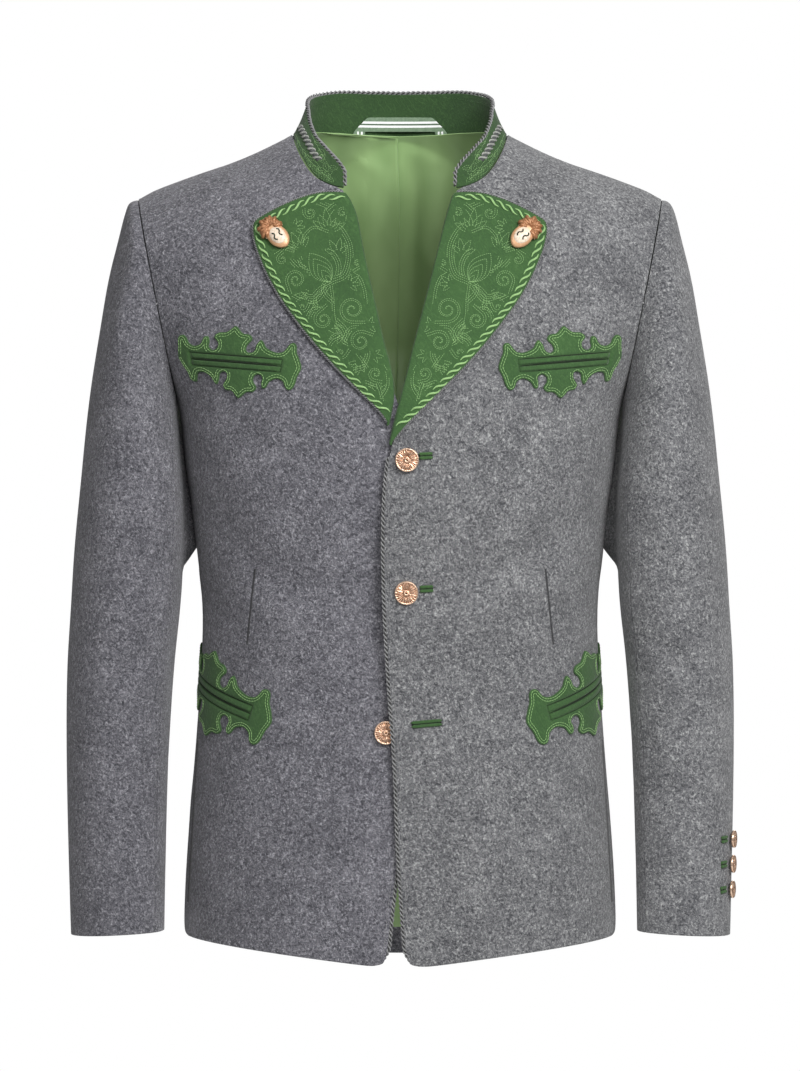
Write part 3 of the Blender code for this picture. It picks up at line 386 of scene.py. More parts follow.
# Own side x, z: folds seen from the front, then from behind.
SLEEVE_FOLDS = {
    LEFT: (
        ((7, -1.7, (214, -414), (236, -430), (256, -444)), (9, 1.3, (212, -440), (238, -452), (262, -460)),
         (7, -1.3, (206, -506), (219, -520), (232, -536)), (8, -1.4, (214, -548), (238, -556), (266, -563)),
         (9, -1.3, (208, -318), (226, -342), (236, -372)), (12, 1.2, (232, -96), (240, -150), (246, -214)),
         (9, -1.0, (206, -250), (222, -276), (229, -300)), (8, 0.9, (212, -590), (236, -604), (268, -610))),
        ((10, -1.6, (208, -372), (232, -392), (262, -398)), (9, 1.2, (210, -402), (236, -418), (266, -424)),
         (11, -1.2, (210, -300), (230, -318), (256, -322)), (10, -1.2, (214, -500), (240, -510), (268, -508)),
         (12, 1.1, (236, -110), (246, -170), (250, -240)))),
    RIGHT: (
        ((7, -1.8, (264, -449), (238, -441), (206, -424)), (9, 1.2, (262, -470), (236, -462), (210, -450)),
         (8, -1.2, (206, -520), (228, -536), (250, -552)), (9, -1.1, (212, -342), (228, -362), (238, -388)),
         (12, 1.2, (230, -90), (238, -140), (243, -204)), (9, -1.1, (205, -262), (220, -284), (230, -306)),
         (8, 0.9, (214, -606), (240, -612), (264, -606))),
        ((10, -1.6, (208, -384), (236, -398), (264, -396)), (9, 1.1, (212, -414), (240, -426), (266, -428)),
         (10, -1.1, (212, -316), (232, -330), (258, -330)), (9, -1.1, (216, -520), (242, -528), (268, -522)),
         (12, 1.0, (234, -104), (244, -166), (250, -232)))),
}
# The under side of each sleeve hangs full below the armhole: height in mm, how far toward the body.
UNDER_FALL = ((-356, 0), (-346, 8), (-334, 16), (-318, 19), (-294, 15), (-262, 9), (-235, 5), (-212, 0))
SLEEVE_CUT = {"top": (0.24, 0.68, 0.127), "under": (0.16, 0.58, 0.075)}  # width, length and area
HEAD_ROLL, HEAD_MIDDLE = 2.6, (0.205, -0.09)  # swell of the head, away from this own side x, z
ROLL_AT, ROLL_WIDE = 0.009, 0.012  # how far from the armhole it is highest, and its width
ROLL_FOOT, ROLL_FADE = -0.17, 0.12  # the height where it ends, and how far up that takes
TURN_SHARP = 1.6  # how quickly the front's folds give way to the back's round the sleeve
UNDER_START, UNDER_FADE = 0.1, 0.6  # the same for the fullness on the body's side
HOLE_EDGE = ((0.028, 0.08, 0.14, 0.221), (0.231, 0.222, 0.208, 0.193))  # depth below the neck and own x


def sleeve_pair(side):
    """A sleeve's two pieces: top and under."""
    word = SIDE_WORD[side]
    nodes = {name: f"{name}_sleeve_{word}" for name in SLEEVE_CUT}
    halves = {name: fine_mesh(node) for name, node in nodes.items()}
    every = np.concatenate([points_of(half) for half in halves.values()])
    axis = [np.polyfit(every[:, 2], every[:, column], 3) for column in (0, 1)]
    made = []
    for name, half in halves.items():
        points = points_of(half)
        off = points[:, :2] - np.stack([np.polyval(fit, points[:, 2]) for fit in axis], axis=-1)
        outward = np.column_stack([unit(off), np.zeros(len(points))])
        flat = points[:, [0, 2]] * [side, 1]
        before = ease(0.5 - outward[:, 1] * TURN_SHARP)
        front, behind = (fold_heights(flat, folds) for folds in SLEEVE_FOLDS[side])
        push = front * before + behind * (1 - before)
        points += outward * push[:, None] * FOLD_DEPTH
        inner = ease((-side * outward[:, 0] - UNDER_START) / UNDER_FADE)
        inner *= ease((outward[:, 1] + UNDER_START) / UNDER_FADE)
        points[:, 0] -= side * MM * inner * np.interp(flat[:, 1] / MM, *np.transpose(UNDER_FALL))
        ball = unit(points - [side * HEAD_MIDDLE[0], 0, HEAD_MIDDLE[1]])
        from_hole = flat[:, 0] - np.interp(-flat[:, 1], *HOLE_EDGE)
        roll = np.exp(-(((from_hole - ROLL_AT) / ROLL_WIDE) ** 2))
        roll *= ease((flat[:, 1] - ROLL_FOOT) / ROLL_FADE)
        points += ball * (HEAD_ROLL * MM * roll)[:, None]
        set_points(half, points)
        cloth = loden_lit_sleeve if side == LEFT else loden_grey
        made.append(add_piece("loden_" + nodes[name], half, cloth, "loden_grey", nodes[name]))
    return made


sleeves = {side: sleeve_pair(side) for side in (LEFT, RIGHT)}

# ---------------------------------------------------------------- back lining
# Green satin, cut wider than the back: the spare width is a box pleat down the centre, and the
# rest hangs in soft upright flutes.

# Width, height and route x, z of each flute; over 0 stands toward the wearer.
LINING_FLUTES = (
    (8, -5.5, (12, 20), (13, -20), (12, -70), (11, -130)),
    (13, 5.0, (-30, 34), (-26, -60), (-22, -150), (-16, -230)), (9, -4.0, (-54, 18), (-50, -60), (-44, -130)),
    (9, 4.6, (-70, 20), (-64, -80), (-58, -200)), (11, 7.5, (30, 6), (26, -50), (21, -130), (15, -230)),
    (8, 6.4, (44, 30), (40, -40), (34, -140), (30, -230)), (8, 3.6, (66, 20), (62, -90), (54, -220)),
    (6, 2.0, (-46, 16), (-20, -2), (-6, -24)), (5, 1.8, (14, -60), (30, -84), (52, -96)),
    (12, 3.0, (-66, -180), (-70, -300), (-66, -420)), (12, 3.0, (68, -180), (72, -300), (70, -420)),
    (16, 2.6, (-100, -60), (-104, -260), (-98, -520)), (16, 2.6, (98, -60), (100, -260), (104, -520)),
)
HANG_TOP, HANG_BACK, HANG_SLOPE = 0.0285, 0.0658, 0.30  # neck height and depth, and lean
HANG_WIDE, HANG_FADE = 0.135, 0.055  # half width over which it hangs clear, and where that dies out
HANG_BEHIND = 0.03  # only what lies this far back hangs clear
# Its top edge is felled over the collar's seam: half the width of that, the width of each column that
# is raised as one, how far down it is felt and how far in it goes; then the edge's height by own x.
SEAM_SIDE, SEAM_STEP, SEAM_BAND, SEAM_IN = 0.086, 0.004, 0.030, 0.0017
SEAM_LEVELS = ((0, 0.0310), (0.034, 0.0316), (0.056, 0.0324), (0.074, 0.0318), (0.086, 0.0294))


def woven(place, scale, distortion):
    """Slanting bands of threads."""
    return place.make("TexWave", {"wave_type": "BANDS", "bands_direction": "DIAGONAL"}, {
        "Vector": place, "Scale": scale, "Distortion": distortion, "Detail": 1.0})


def satin_paint(place):
    cloud = noise(stretched(place, 1.0, 1.0, 0.35), 0.03, 2)
    colour = cloud.ramp((0.3, (0.270, 0.425, 0.172)), (0.7, (0.370, 0.550, 0.238)))
    bump = (woven(place, 900.0, 1.2) + cloud * 2.0).bump(0.12, 0.0004)
    return {"Base Color": colour, "Normal": bump, "Roughness": 0.30 + cloud * 0.10}


def hung(mesh):
    """The lining drops nearly straight from the neck, where the back arches away behind it."""
    points = points_of(mesh)
    tree = BVHTree.FromPolygons(points.tolist(), [tuple(face.vertices) for face in mesh.polygons])
    for point in points:
        met = tree.ray_cast(Vector((point[0], 0, point[2])), Vector((0, 1, 0)))[0]
        if met is not None and point[1] > HANG_BEHIND:
            limit = HANG_BACK + HANG_SLOPE * (HANG_TOP - point[2])
            point[1] -= max(met.y - limit, 0) * ease((HANG_WIDE - abs(point[0])) / HANG_FADE)
    column = np.round(points[:, 0] / SEAM_STEP).astype(int)
    for number in np.unique(column[(abs(points[:, 0]) < SEAM_SIDE)]):
        here = (column == number) & (points[:, 1] > 0)
        top = points[here, 2].max()
        rise = np.interp(abs(number) * SEAM_STEP, *np.transpose(SEAM_LEVELS)) - top
        share = ease((points[here, 2] - top + SEAM_BAND) / SEAM_BAND)[:, None]
        points[here] += share * (np.array([0, 0, rise]) - unit(points[here] * [1, 1, 0]) * SEAM_IN)
    set_points(mesh, points)
    return mesh


satin_green = finish_of("satin_green", satin_paint, Sheen_Weight=0.2, Sheen_Roughness=0.4)
lining_mesh = creased(hung(fine_mesh("lining_back", 3)), lambda points: -body_outward(points), LINING_FLUTES)
lining = add_piece("satin_back_lining", lining_mesh, satin_green, "satin_green", "lining_back")


def run_of(path):
    """The length of a path up to each of its points."""
    return np.concatenate([[0], np.cumsum(np.linalg.norm(np.diff(path, axis=0), axis=1))])


def sampled(at, run, values):
    """Rows of values, read at lengths along a run."""
    return np.stack([np.interp(at, run, column) for column in values.T], axis=-1)


def resample(path, step):
    """Points a step apart along a path."""
    path = np.asarray(path, float)
    run = run_of(path)
    return sampled(np.linspace(0, run[-1], max(int(round(run[-1] / step)), 2) + 1), run, path)


def curve_through(corners, steps):
    """A smooth line by Catmull-Rom through all but the end corners, in so many steps between them."""
    share = np.linspace(0, 1, steps, endpoint=False)[:, None]
    return np.vstack([0.5 * (2 * b + (c - a) * share + (2 * a - 5 * b + 4 * c - d) * share**2
                             + (3 * b - a - 3 * c + d) * share**3)
                      for a, b, c, d in zip(corners, corners[1:], corners[2:], corners[3:])])


def rounded(path, step=1.0):
    """A smooth line through points, with points a step apart."""
    path = np.asarray(path, float)
    corners = np.vstack([2 * path[0] - path[1], path, 2 * path[-1] - path[-2]])
    return resample(np.vstack([curve_through(corners, 12), path[-1:]]), step)


def smoothed(rows, times):
    """Rows drawn toward the mean of their neighbours, the ends kept."""
    for _ in range(times):
        rows[1:-1] = (rows[:-2] + rows[1:-1] * 2 + rows[2:]) / 4
    return rows


def on_surface(surface, flat):
    """Places and normals on a cloth of x, z points in millimetres, seen from the front."""
    places, normals = (np.array(rows) for rows in zip(*[surface.ahead(x * MM, z * MM) for x, z in flat]))
    return places, unit(smoothed(normals, 3))


def square_to(path, up):
    """Directions square to a path: across it, and out of it toward up."""
    along = unit(np.gradient(path, axis=0))
    across = unit(np.cross(along, up))
    return across, np.cross(across, along)


def turns_of(count):
    """Angles round a circle in equal steps."""
    return np.arange(count) * 2 * math.pi / count


class Bundle:
    """Many small closed forms gathered into one mesh."""

    def __init__(self):
        self.points, self.faces, self.count = [], [], 0

    def rings(self, rings):
        """A closed skin over rings of points, capped at both ends."""
        rows, sides = rings.shape[:2]
        skin = [(row * sides + step, row * sides + (step + 1) % sides,
                 (row + 1) * sides + (step + 1) % sides, (row + 1) * sides + step)
                for row in range(rows - 1) for step in range(sides)]
        ends = [tuple(range(sides))[::-1], tuple((rows - 1) * sides + step for step in range(sides))]
        self.faces += [tuple(index + self.count for index in face) for face in skin + ends]
        self.points.append(rings.reshape(-1, 3))
        self.count += rows * sides

    def tube(self, path, radius, up, sides=6):
        """A closed tube on a path; up is roughly square to it, and radius may vary along it."""
        across, out = square_to(path, up)
        turn = turns_of(sides)
        spokes = across[:, None] * np.cos(turn)[None, :, None] + out[:, None] * np.sin(turn)[None, :, None]
        self.rings(path[:, None] + spokes * np.broadcast_to(radius, len(path))[:, None, None])

    def mesh(self, name):
        made = bpy.data.meshes.new(name)
        made.from_pydata(np.concatenate(self.points).tolist(), [], self.faces)
        made.shade_smooth()
        return made

    def piece(self, name, finish, slot, *stands_for):
        return add_piece(name, self.mesh(name), finish, slot, *stands_for)


# The lining's centre pleat: its outer fold lies toward the wearer, with a free edge down the middle.
PLEAT_EDGE = ((-2.5, 32.6), (-1.8, 0), (-0.8, -60), (-2.0, -140), (-4.0, -260))
PLEAT_ACROSS = (  # from the free edge, and toward the wearer
    (-44, -1.0), (-34, -0.1), (-25, 0.5), (-16, 1.4), (-8, 2.9), (-2.6, 4.5), (-0.4, 4.8), (0, 4.0),
    (-2.0, 3.2), (-8, 1.6), (-16, 0.0), (-26, -1.2), (-44, -1.8),
)
# How far open it is at the neck, and how that grows with each height.
PLEAT_TOP, PLEAT_OPENS = 0.45, ((-260, 0.7), (-160, 1), (0, 1), (33, 0))


def pleat(cloth):
    """The pleat's folded strip, laid on the lining."""
    edge = rounded(PLEAT_EDGE, 3.0)
    opened = PLEAT_TOP + (1 - PLEAT_TOP) * np.interp(edge[:, 1], *np.transpose(PLEAT_OPENS))
    columns = []
    for across, height in PLEAT_ACROSS:
        places, ups = on_surface(cloth, edge + [across, 0])
        columns.append(places + ups * (height * opened)[:, None] * MM)
    bundle = Bundle()
    bundle.rings(np.stack(columns, axis=1))
    return bundle


pleat_fold = pleat(Surface(lining)).piece("satin_centre_pleat", satin_green, "satin_green")

# ---------------------------------------------------------------- stand collar
# Green felt inside and out, sewn to the neckline. Each front end carries a chain of grey thread over
# a dark ply, whose colour paints the shade between the chain's strokes, and a spray of stitched leaves;
# inside, a line of stitches runs under the top edge.


def felt(name, depth):
    """Dense green wool felt with a short nap."""
    def paint(place):
        nap = noise(place, 0.0016, 3, 0.65)
        fibres = hairs(place, 0.0030, 0.60, 0.09)
        cloud = noise(place, 0.035, 2)
        tone = nap * 0.55 + cloud * 0.30 + fibres * 0.13
        greens = ((0.25, (0.024, 0.067, 0.019)), (0.5, (0.043, 0.111, 0.029)), (0.75, (0.074, 0.158, 0.050)))
        colour = tone.ramp(*[(at, [part * depth for part in green]) for at, green in greens])
        return {"Base Color": colour, "Normal": (nap + fibres * 0.6).bump(0.4, 0.0007)}

    return finish_of(name, paint, Roughness=0.93, Sheen_Weight=0.15, Sheen_Roughness=0.5)


# The collar's copy of the same felt is darker: painted shade for the collar, whose inside stands in shade.
felt_green, felt_shade = felt("felt_green", 0.97), felt("felt_shaded_collar", 0.70)

# Top edge on the own side, from its front end to the centre back, and how the pressed edge
# stands off its CAD form: outward beside the neck, up at the back's corners and down in the middle.
COLLAR_TOP = ((49.5, -71.5, -9.5), (54, -67, -1.5), (60.5, -57.5, 8), (69.5, -39, 23.5), (77, -19, 37.5),
              (81.5, -2, 47), (83.5, 16, 55), (77, 37, 61.5), (56, 56, 67), (31, 64, 70), (0, 67, 71))
COLLAR_PRESS = ((0, 0, 0), (0.6, 0, 0), (2.6, 0.5, 0), (6.4, 1.5, -0.4), (4.6, 1.2, 0.4), (1.6, 0.6, 1.4),
                (-0.6, 0, 2.4), (-0.4, 0, 2.8), (0, 0, 1.8), (0, 0, -1.2), (0, 0, -2.4))
PRESS_REACH = 15.0  # how far from the edge the pressing is still felt
# How far the lower edge goes into the seam behind the shoulders, over what height, in what steps
# round the neck, and how far back that comes in.
SET_IN, SET_BAND, SET_TURN, SET_FROM, SET_FADE = 0.0024, 0.007, 0.06, -0.0048, 0.012


def pressed(points):
    """Points on or beside the collar, moved as its pressed top edge asks."""
    own = points / MM * np.where(points[:, :1] < 0, [[-1, 1, 1]], [[1, 1, 1]])
    table = resample(np.hstack([COLLAR_TOP, COLLAR_PRESS]), 2.0)
    gaps = np.linalg.norm(own[:, None] - table[None, :, :3], axis=2)
    nearest = gaps.argmin(axis=1)
    push = table[nearest, 3:] * np.exp(-((gaps.min(axis=1) / PRESS_REACH) ** 2))[:, None]
    push[:, 0] *= np.where(points[:, 0] < 0, -1, 1)
    return points + push * MM


def set_in(points):
    """The collar's lower edge, behind the shoulders, taken down into the neck seam."""
    turns = np.arctan2(points[:, 0], points[:, 1])
    steps = np.round(turns / SET_TURN)
    numbers = np.unique(steps)
    feet = [points[steps == number, 2].min() for number in numbers]
    height = points[:, 2] - np.interp(turns, numbers * SET_TURN, feet)
    points[:, 2] -= SET_IN * ease(1 - height / SET_BAND) * ease((points[:, 1] - SET_FROM) / SET_FADE)
    return points


collar_mesh = fine_mesh("collar")
set_points(collar_mesh, set_in(pressed(points_of(collar_mesh))))
collar = add_piece("felt_collar", collar_mesh, felt_shade, "felt_green", "collar")

# An S-shaped stroke's length in pitches, and the share of it that each straight tail takes; how
# thick its ends are and how much its middle adds, in threads; and how short the last may be.
STROKE_LENGTH, STROKE_TAIL, STROKE_ENDS, STROKE_BELLY, LAST_STROKE = 1.5, 0.17, 0.34, 0.66, 0.75


def chained(bundle, path, ups, width, pitch, thread, way, stroke=STROKE_LENGTH):
    """A rope drawn in satin stitch: S-shaped strokes that lap along a path, a pitch apart."""
    run = run_of(path)
    across, _ = square_to(path, ups)
    share = np.linspace(0, 1, 17)
    swell = np.sin(np.pi * np.clip(share, 0.02, 0.98)) ** 1.3
    turn = np.pi * np.clip((share - STROKE_TAIL) / (1 - 2 * STROKE_TAIL), 0, 1)
    length = stroke * pitch
    for start in np.arange(0, run[-1] - length * LAST_STROKE, pitch):
        at = start + share * min(length, run[-1] - start)
        middle, sideways, up = (sampled(at, run, values) for values in (path, across, ups))
        sway = -way * np.cos(turn) * width / 2
        arch = thread * (0.1 + 0.8 * np.sin(np.pi * share))
        bundle.tube(middle + sideways * sway[:, None] + up * arch[:, None],
                    thread * (STROKE_ENDS + STROKE_BELLY * swell), up, 8)


# Along one stitch: share of its length, height over the cloth and radius, both in thread radii.
STITCH_SHAPE = np.array([(0, -0.5, 0.55), (0.16, 0.45, 1), (0.5, 0.8, 1.1), (0.84, 0.45, 1), (1, -0.5, 0.55)])
LAST_STITCH = 0.6  # how short the last may be cut


def stitched(bundle, path, ups, length, gap, thread):
    """Running stitches: short rounded threads on a path, in millimetres."""
    run = run_of(path) / MM
    share, height, thick = STITCH_SHAPE.T
    start = 0.0
    while start + length * LAST_STITCH < run[-1]:
        at = start + share * min(length, run[-1] - start)
        up = sampled(at, run, ups)
        centre = sampled(at, run, path) + up * (thread * MM * height)[:, None]
        bundle.tube(centre, thread * MM * thick, up, 5)
        start += length + gap


def leaf(x, z, length, angle, width=0.32):
    """A pointed leaf with a midrib, as two lines from its foot."""
    share = np.linspace(0, 1, 16)
    half = length * width * np.sin(np.pi * share) ** 0.8 * (1 - share * 0.35)
    turn = math.radians(angle)
    spin = np.array([[math.cos(turn), math.sin(turn)], [-math.sin(turn), math.cos(turn)]])
    sides = [np.column_stack([share * length, half * flip]) for flip in (1, -1)]
    outline = np.vstack([sides[0], sides[1][::-1]])
    rib = np.column_stack([share[2:12] * length, 0 * share[2:12]])
    return [resample(part @ spin + [x, z], 0.8) for part in (outline, rib)]


collar_front = Surface(collar)
COLLAR_CHAIN = ((-88.5, 34.0), (-83, 22.5), (-76, 8), (-69, -2))  # wearer's right end, x and z from its top
# The chain's width, pitch and thread radius, the dark ply's radius and how deep it lies in its own
# radii, and a stroke's length in pitches. The ply's dark colour paints the shade between the strokes.
CHAIN_WIDTH, CHAIN_PITCH, CHAIN_THREAD, CHAIN_PLY, PLY_DEEP, CHAIN_STROKE = 5.1, 6.9, 1.15, 2.3, 0.3, 1.15
COLLAR_VINES = (
    ((-92, 27), (-87, 14), (-80, 2), (-71, -8), (-61, -17)), ((-78, 26), (-72, 13), (-66, 2), (-60, -8)),
    ((-84, 8), (-76, 2), (-70, -6), (-66, -14)),
)
COLLAR_LEAVES = (  # foot x, z, length and angle
    (-89, 20, 9, -110), (-86, 12, 10, -80), (-83, 6, 10, -30), (-80, 1, 10, -95), (-76, -4, 10, -60),
    (-73, -8, 9, -10), (-69, -11, 9, -80), (-66, -13, 8, 20), (-63, -15, 7, -40), (-72, 0, 9, 40),
    (-66, -2, 9, -70), (-62, -6, 8, -10), (-71, 11, 8, -50), (-75, 18, 8, -20), (-79, -3, 8, -120),
    (-84, 2, 7, -140), (-68, 6, 8, -90), (-62, -12, 7, -100),
)
TOP_LINE, TOP_LINE_TURN = 3.4, math.radians(118)  # the inside stitching's drop below the collar's edge
# Length, gap and thread radius of the running stitches in each place, in millimetres.
LEAF_STITCH, TOP_LINE_STITCH = (1.3, 0.8, 0.16), (2.0, 0.8, 0.22)


def collar_line():
    """The route of the stitches inside the collar, a little below its top edge."""
    edge = resample(COLLAR_TOP, 1.0)
    about = np.arctan2(edge[:, 0], edge[:, 1])[::-1]
    places, ups = [], []
    for turn in np.linspace(-TOP_LINE_TURN, TOP_LINE_TURN, 240):
        level = np.interp(abs(turn), about, edge[::-1, 2]) - TOP_LINE
        start, way = np.array([0, 0, level * MM]), np.array([math.sin(turn), math.cos(turn), 0])
        met, _, _, far = collar_front.tree.ray_cast(Vector(start), Vector(way))
        if met is not None:
            places.append(start + way * far)
            ups.append(-way)
    return np.array(places), np.array(ups)


chain_work, shade_ply_work, leaf_work = Bundle(), Bundle(), Bundle()
for side in (LEFT, RIGHT):
    route = rounded([(-side * x, z) for x, z in COLLAR_CHAIN], 0.6)
    path, ups = on_surface(collar_front, route)
    chained(chain_work, path, ups, CHAIN_WIDTH * MM, CHAIN_PITCH * MM, CHAIN_THREAD * MM, side, CHAIN_STROKE)
    path, ups = path[3:-3:3], ups[3:-3:3]
    # The dark ply's colour paints the shade between the chain's strokes.
    shade_ply_work.tube(path - ups * CHAIN_PLY * MM * PLY_DEEP, CHAIN_PLY * MM, ups, 10)
    lines = [rounded(vine, 0.8) for vine in COLLAR_VINES]
    for spray in COLLAR_LEAVES:
        lines += leaf(*spray)
    for line in lines:
        stitched(leaf_work, *on_surface(collar_front, line * [-side, 1]), *LEAF_STITCH)


def thread_finish(name, dark, light):
    """Twisted thread between two colours."""
    def paint(place):
        twist = woven(place, 1400.0, 0.6)
        tone = twist * 0.4 + noise(place, 0.006, 2) * 0.6
        return {"Base Color": tone.ramp((0.25, dark), (0.75, light)), "Normal": twist.bump(0.35, 0.0003)}

    return finish_of(name, paint, Roughness=0.62, Sheen_Weight=0.2, Sheen_Roughness=0.4)


cord_grey = thread_finish("cord_grey", (0.130, 0.130, 0.134), (0.360, 0.360, 0.362))
# Near-black thread for the cords' cores: painted shade between their strands.
cord_gap_shade = thread_finish("cord_gap_shade", (0.012, 0.013, 0.012), (0.030, 0.031, 0.030))
chain_grey = thread_finish("chain_grey", (0.16, 0.17, 0.155), (0.46, 0.47, 0.43))
chain_shade = thread_finish("chain_shade", (0.035, 0.040, 0.038), (0.085, 0.092, 0.088))
thread_pale = thread_finish("thread_pale_green", (0.23, 0.42, 0.150), (0.38, 0.62, 0.25))
thread_mid = thread_finish("thread_mid_green", (0.20, 0.37, 0.145), (0.33, 0.55, 0.22))
top_stitches = Bundle()
stitched(top_stitches, *collar_line(), *TOP_LINE_STITCH)
top_stitches.piece("collar_top_stitching", felt_green, "felt_green")
chain_work.piece("collar_chain", chain_grey, "cord_grey")
shade_ply_work.piece("collar_chain_shade_ply", chain_shade, "cord_grey")
leaf_work.piece("collar_leaf_stitching", thread_mid, "felt_green")

# ---------------------------------------------------------------- lapels
# Wide lapels of loden turned back and faced with green felt. A rope of two pale threads runs
# round inside the edge, and running stitches draw scrolls and leaves over the rest.

LAPEL_EDGE = ((127.5, -54.5), (130, -63), (126, -79), (118, -99), (105, -124), (88, -147), (69.5, -170),
              (50.5, -191), (31, -212), (18, -224))  # own side x, z of the outer edge, from its top corner
LAPEL_TOP = ((45.5, -29), (69, -26.5), (97, -37), (120, -48.5), (127.5, -54.5))
LAPEL_FOLD = ((48, -30), (39, -60), (29, -100), (20, -135), (11, -168), (2, -205), (-5, -235))
LAPEL_FOOT = {LEFT: ((7, -235), (-4, -247.5)), RIGHT: ((17, -225), (13, -230))}
ROPE_INSET, ROPE_WIDTH, ROPE_PITCH, ROPE_THREAD = 6.7, 4.6, 8.9, 0.98
KEPT_INSET = 0.93  # the least share of its inset that an inset line must lie off the edge
ROPE_OFF_FOLD, OFF_ROPE, OFF_FOLD, OFF_TOP = 1.5, 4.6, 4.0, 6.0  # how near the rope and the lines come
LAPEL_STITCH = (1.3, 0.6, 0.24)
# Needlework on each lapel, own side x, z: scrolls of two lines, fans of slim petals, a bud of
# nested petals and stems of two lines between them.
SCROLLS = (  # middle x, z, size, turns, start, way, straight lead
    (41, -132, 12.5, 2.0, -100, 1, 9), (34, -160, 10, 1.8, 120, -1, 7), (21, -188, 7, 1.5, -90, 1, 6),
    (66, -141, 9, 1.8, 60, -1, 9), (51, -170, 6, 1.4, 200, 1, 6), (90, -106, 9.5, 1.9, -30, 1, 9),
    (78, -47, 6.5, 1.5, 10, -1, 8), (102, -88, 5.5, 1.4, 60, -1, 4), (84, -130, 5, 1.3, 190, 1, 5),
    (50, -47, 6.0, 1.5, 200, -1, 6), (62, -174, 5, 1.4, 30, 1, 5), (37, -92, 5, 1.4, 250, -1, 6),
)
FANS = (  # foot x, z, length, angle, petals, spread
    (62, -64, 22, 94, 6, 116), (86, -80, 18, 62, 5, 116), (76, -120, 18, -40, 6, 140),
    (49, -152, 15, -8, 4, 110), (35, -178, 13, -62, 4, 110), (18, -204, 12, 88, 3, 90),
    (23, -172, 10, 190, 3, 100), (73, -157, 12, -25, 4, 110), (27, -146, 11, 170, 3, 110),
    (44, -110, 12, 160, 4, 120), (54, -84, 16, 80, 4, 116), (92, -60, 11, 160, 4, 110),
    (100, -112, 10, -60, 3, 100), (42, -188, 10, 0, 3, 110), (36, -66, 10, 120, 3, 90),
)
FAN_FOOT = 0.24  # a fan's petals are open to the middle by this share of its length
# The bud's foot and angle, and each petal's length and half width as a share of that.
BUD = (60, -108, 54.0, ((31, 0.36), (25, 0.34), (19, 0.32), (13, 0.30), (7, 0.30)))
BUD_ROOM = ((67, -98, 11), (75, -88, 9))
STEMS = (
    ((15, -212), (19, -198), (30, -180), (42, -164), (53, -152), (57, -138), (58, -122), (60, -108)),
    ((60, -108), (70, -114), (76, -120), (84, -118)), ((62, -64), (74, -60), (82, -66), (85, -74)),
)
PLUMES = (  # lines, then the route of the outermost
    (4, (58, -110), (46, -104), (41, -90), (42, -74), (50, -60), (60, -54)),
    (4, (64, -104), (82, -101), (94, -92), (101, -80)), (3, (60, -112), (72, -126), (86, -124), (98, -118)),
    (3, (56, -136), (72, -130), (80, -136), (80, -148)), (3, (50, -152), (60, -158), (64, -168), (58, -178)),
    (3, (30, -180), (42, -184), (46, -192), (42, -200)), (3, (44, -164), (50, -160), (44, -148), (34, -146)),
    (2, (22, -194), (30, -200), (32, -208), (26, -214)), (2, (64, -44), (56, -38), (50, -44), (54, -52)),
    (3, (88, -78), (98, -74), (104, -80), (110, -84)), (2, (16, -210), (10, -200), (10, -188), (14, -180)),
    (3, (60, -40), (76, -35), (92, -41), (100, -50)), (3, (52, -104), (51, -94), (55, -84), (63, -78)),
    (2, (92, -128), (100, -116), (108, -104), (112, -94)),
    (2, (66, -114), (74, -121), (73, -129), (66, -130)),
    (2, (28, -128), (30, -114), (34, -104), (40, -100)),
    (3, (58, -128), (66, -120), (68, -112), (64, -106)), (4, (54, -140), (46, -148), (44, -156), (50, -164)),
    (3, (72, -146), (78, -152), (76, -160), (66, -166)), (3, (30, -182), (26, -172), (28, -160), (36, -152)),
    (4, (84, -84), (80, -96), (84, -106), (94, -112)), (3, (20, -198), (30, -194), (34, -198), (34, -206)),
)
# Between the lines of a scroll, a stem and a plume; room round a scroll; a fan petal's half width;
# how much shorter a fan's outer petals and a plume's inner lines are.
SCROLL_APART, STEM_APART, PLUME_APART, SCROLL_ROOM, PETAL = 2.1, 1.9, 2.0, 1.2, 0.19
FAN_TAPER, PLUME_TAPER = 0.5, 0.11
FOLD_BY_HEIGHT = tuple(np.array(LAPEL_FOLD)[::-1].T[::-1])  # height, then x
lapel_area = np.array(LAPEL_FOLD + LAPEL_EDGE[::-1] + LAPEL_TOP[::-1])


def spiral(x, z, size, turns, start, way, lead):
    """A scroll that winds into its middle, with a straight lead at its open end."""
    share = np.linspace(1, 0.06, int(28 * turns))
    angle = math.radians(start) + way * 2 * math.pi * turns * (1 - share)
    points = np.column_stack([x + size * share * np.cos(angle), z + size * share * np.sin(angle)])
    return resample(np.vstack([points[0] + unit(points[0] - points[1]) * lead, points]), 0.8)


def gap_to(points, line):
    """Distance of flat points from a line of flat points."""
    line = resample(line, 1.0)
    return np.linalg.norm(np.asarray(points)[:, None] - line[None], axis=2).min(axis=1)


def inside(points, area):
    """Which flat points lie in a closed area."""
    ends = np.roll(area, -1, axis=0)
    within = np.zeros(len(points), bool)
    for (x0, z0), (x1, z1) in zip(area, ends):
        if z0 != z1:
            spans = (z0 > points[:, 1]) != (z1 > points[:, 1])
            within ^= spans & (points[:, 0] < x0 + (points[:, 1] - z0) / (z1 - z0) * (x1 - x0))
    return within


def kept_runs(line, keep):
    """The stretches of a line whose points are kept, each of four points or more."""
    runs, current = [], []
    for point, wanted in zip(line, keep):
        if wanted:
            current.append(point)
        else:
            runs.append(current)
            current = []
    return [np.array(run) for run in runs + [current] if len(run) >= 4]


def inset(line, by):
    """A line moved to its right by a distance."""
    line = np.asarray(line, float)
    along = unit(np.gradient(line, axis=0))
    return line + np.column_stack([along[:, 1], -along[:, 0]]) * by


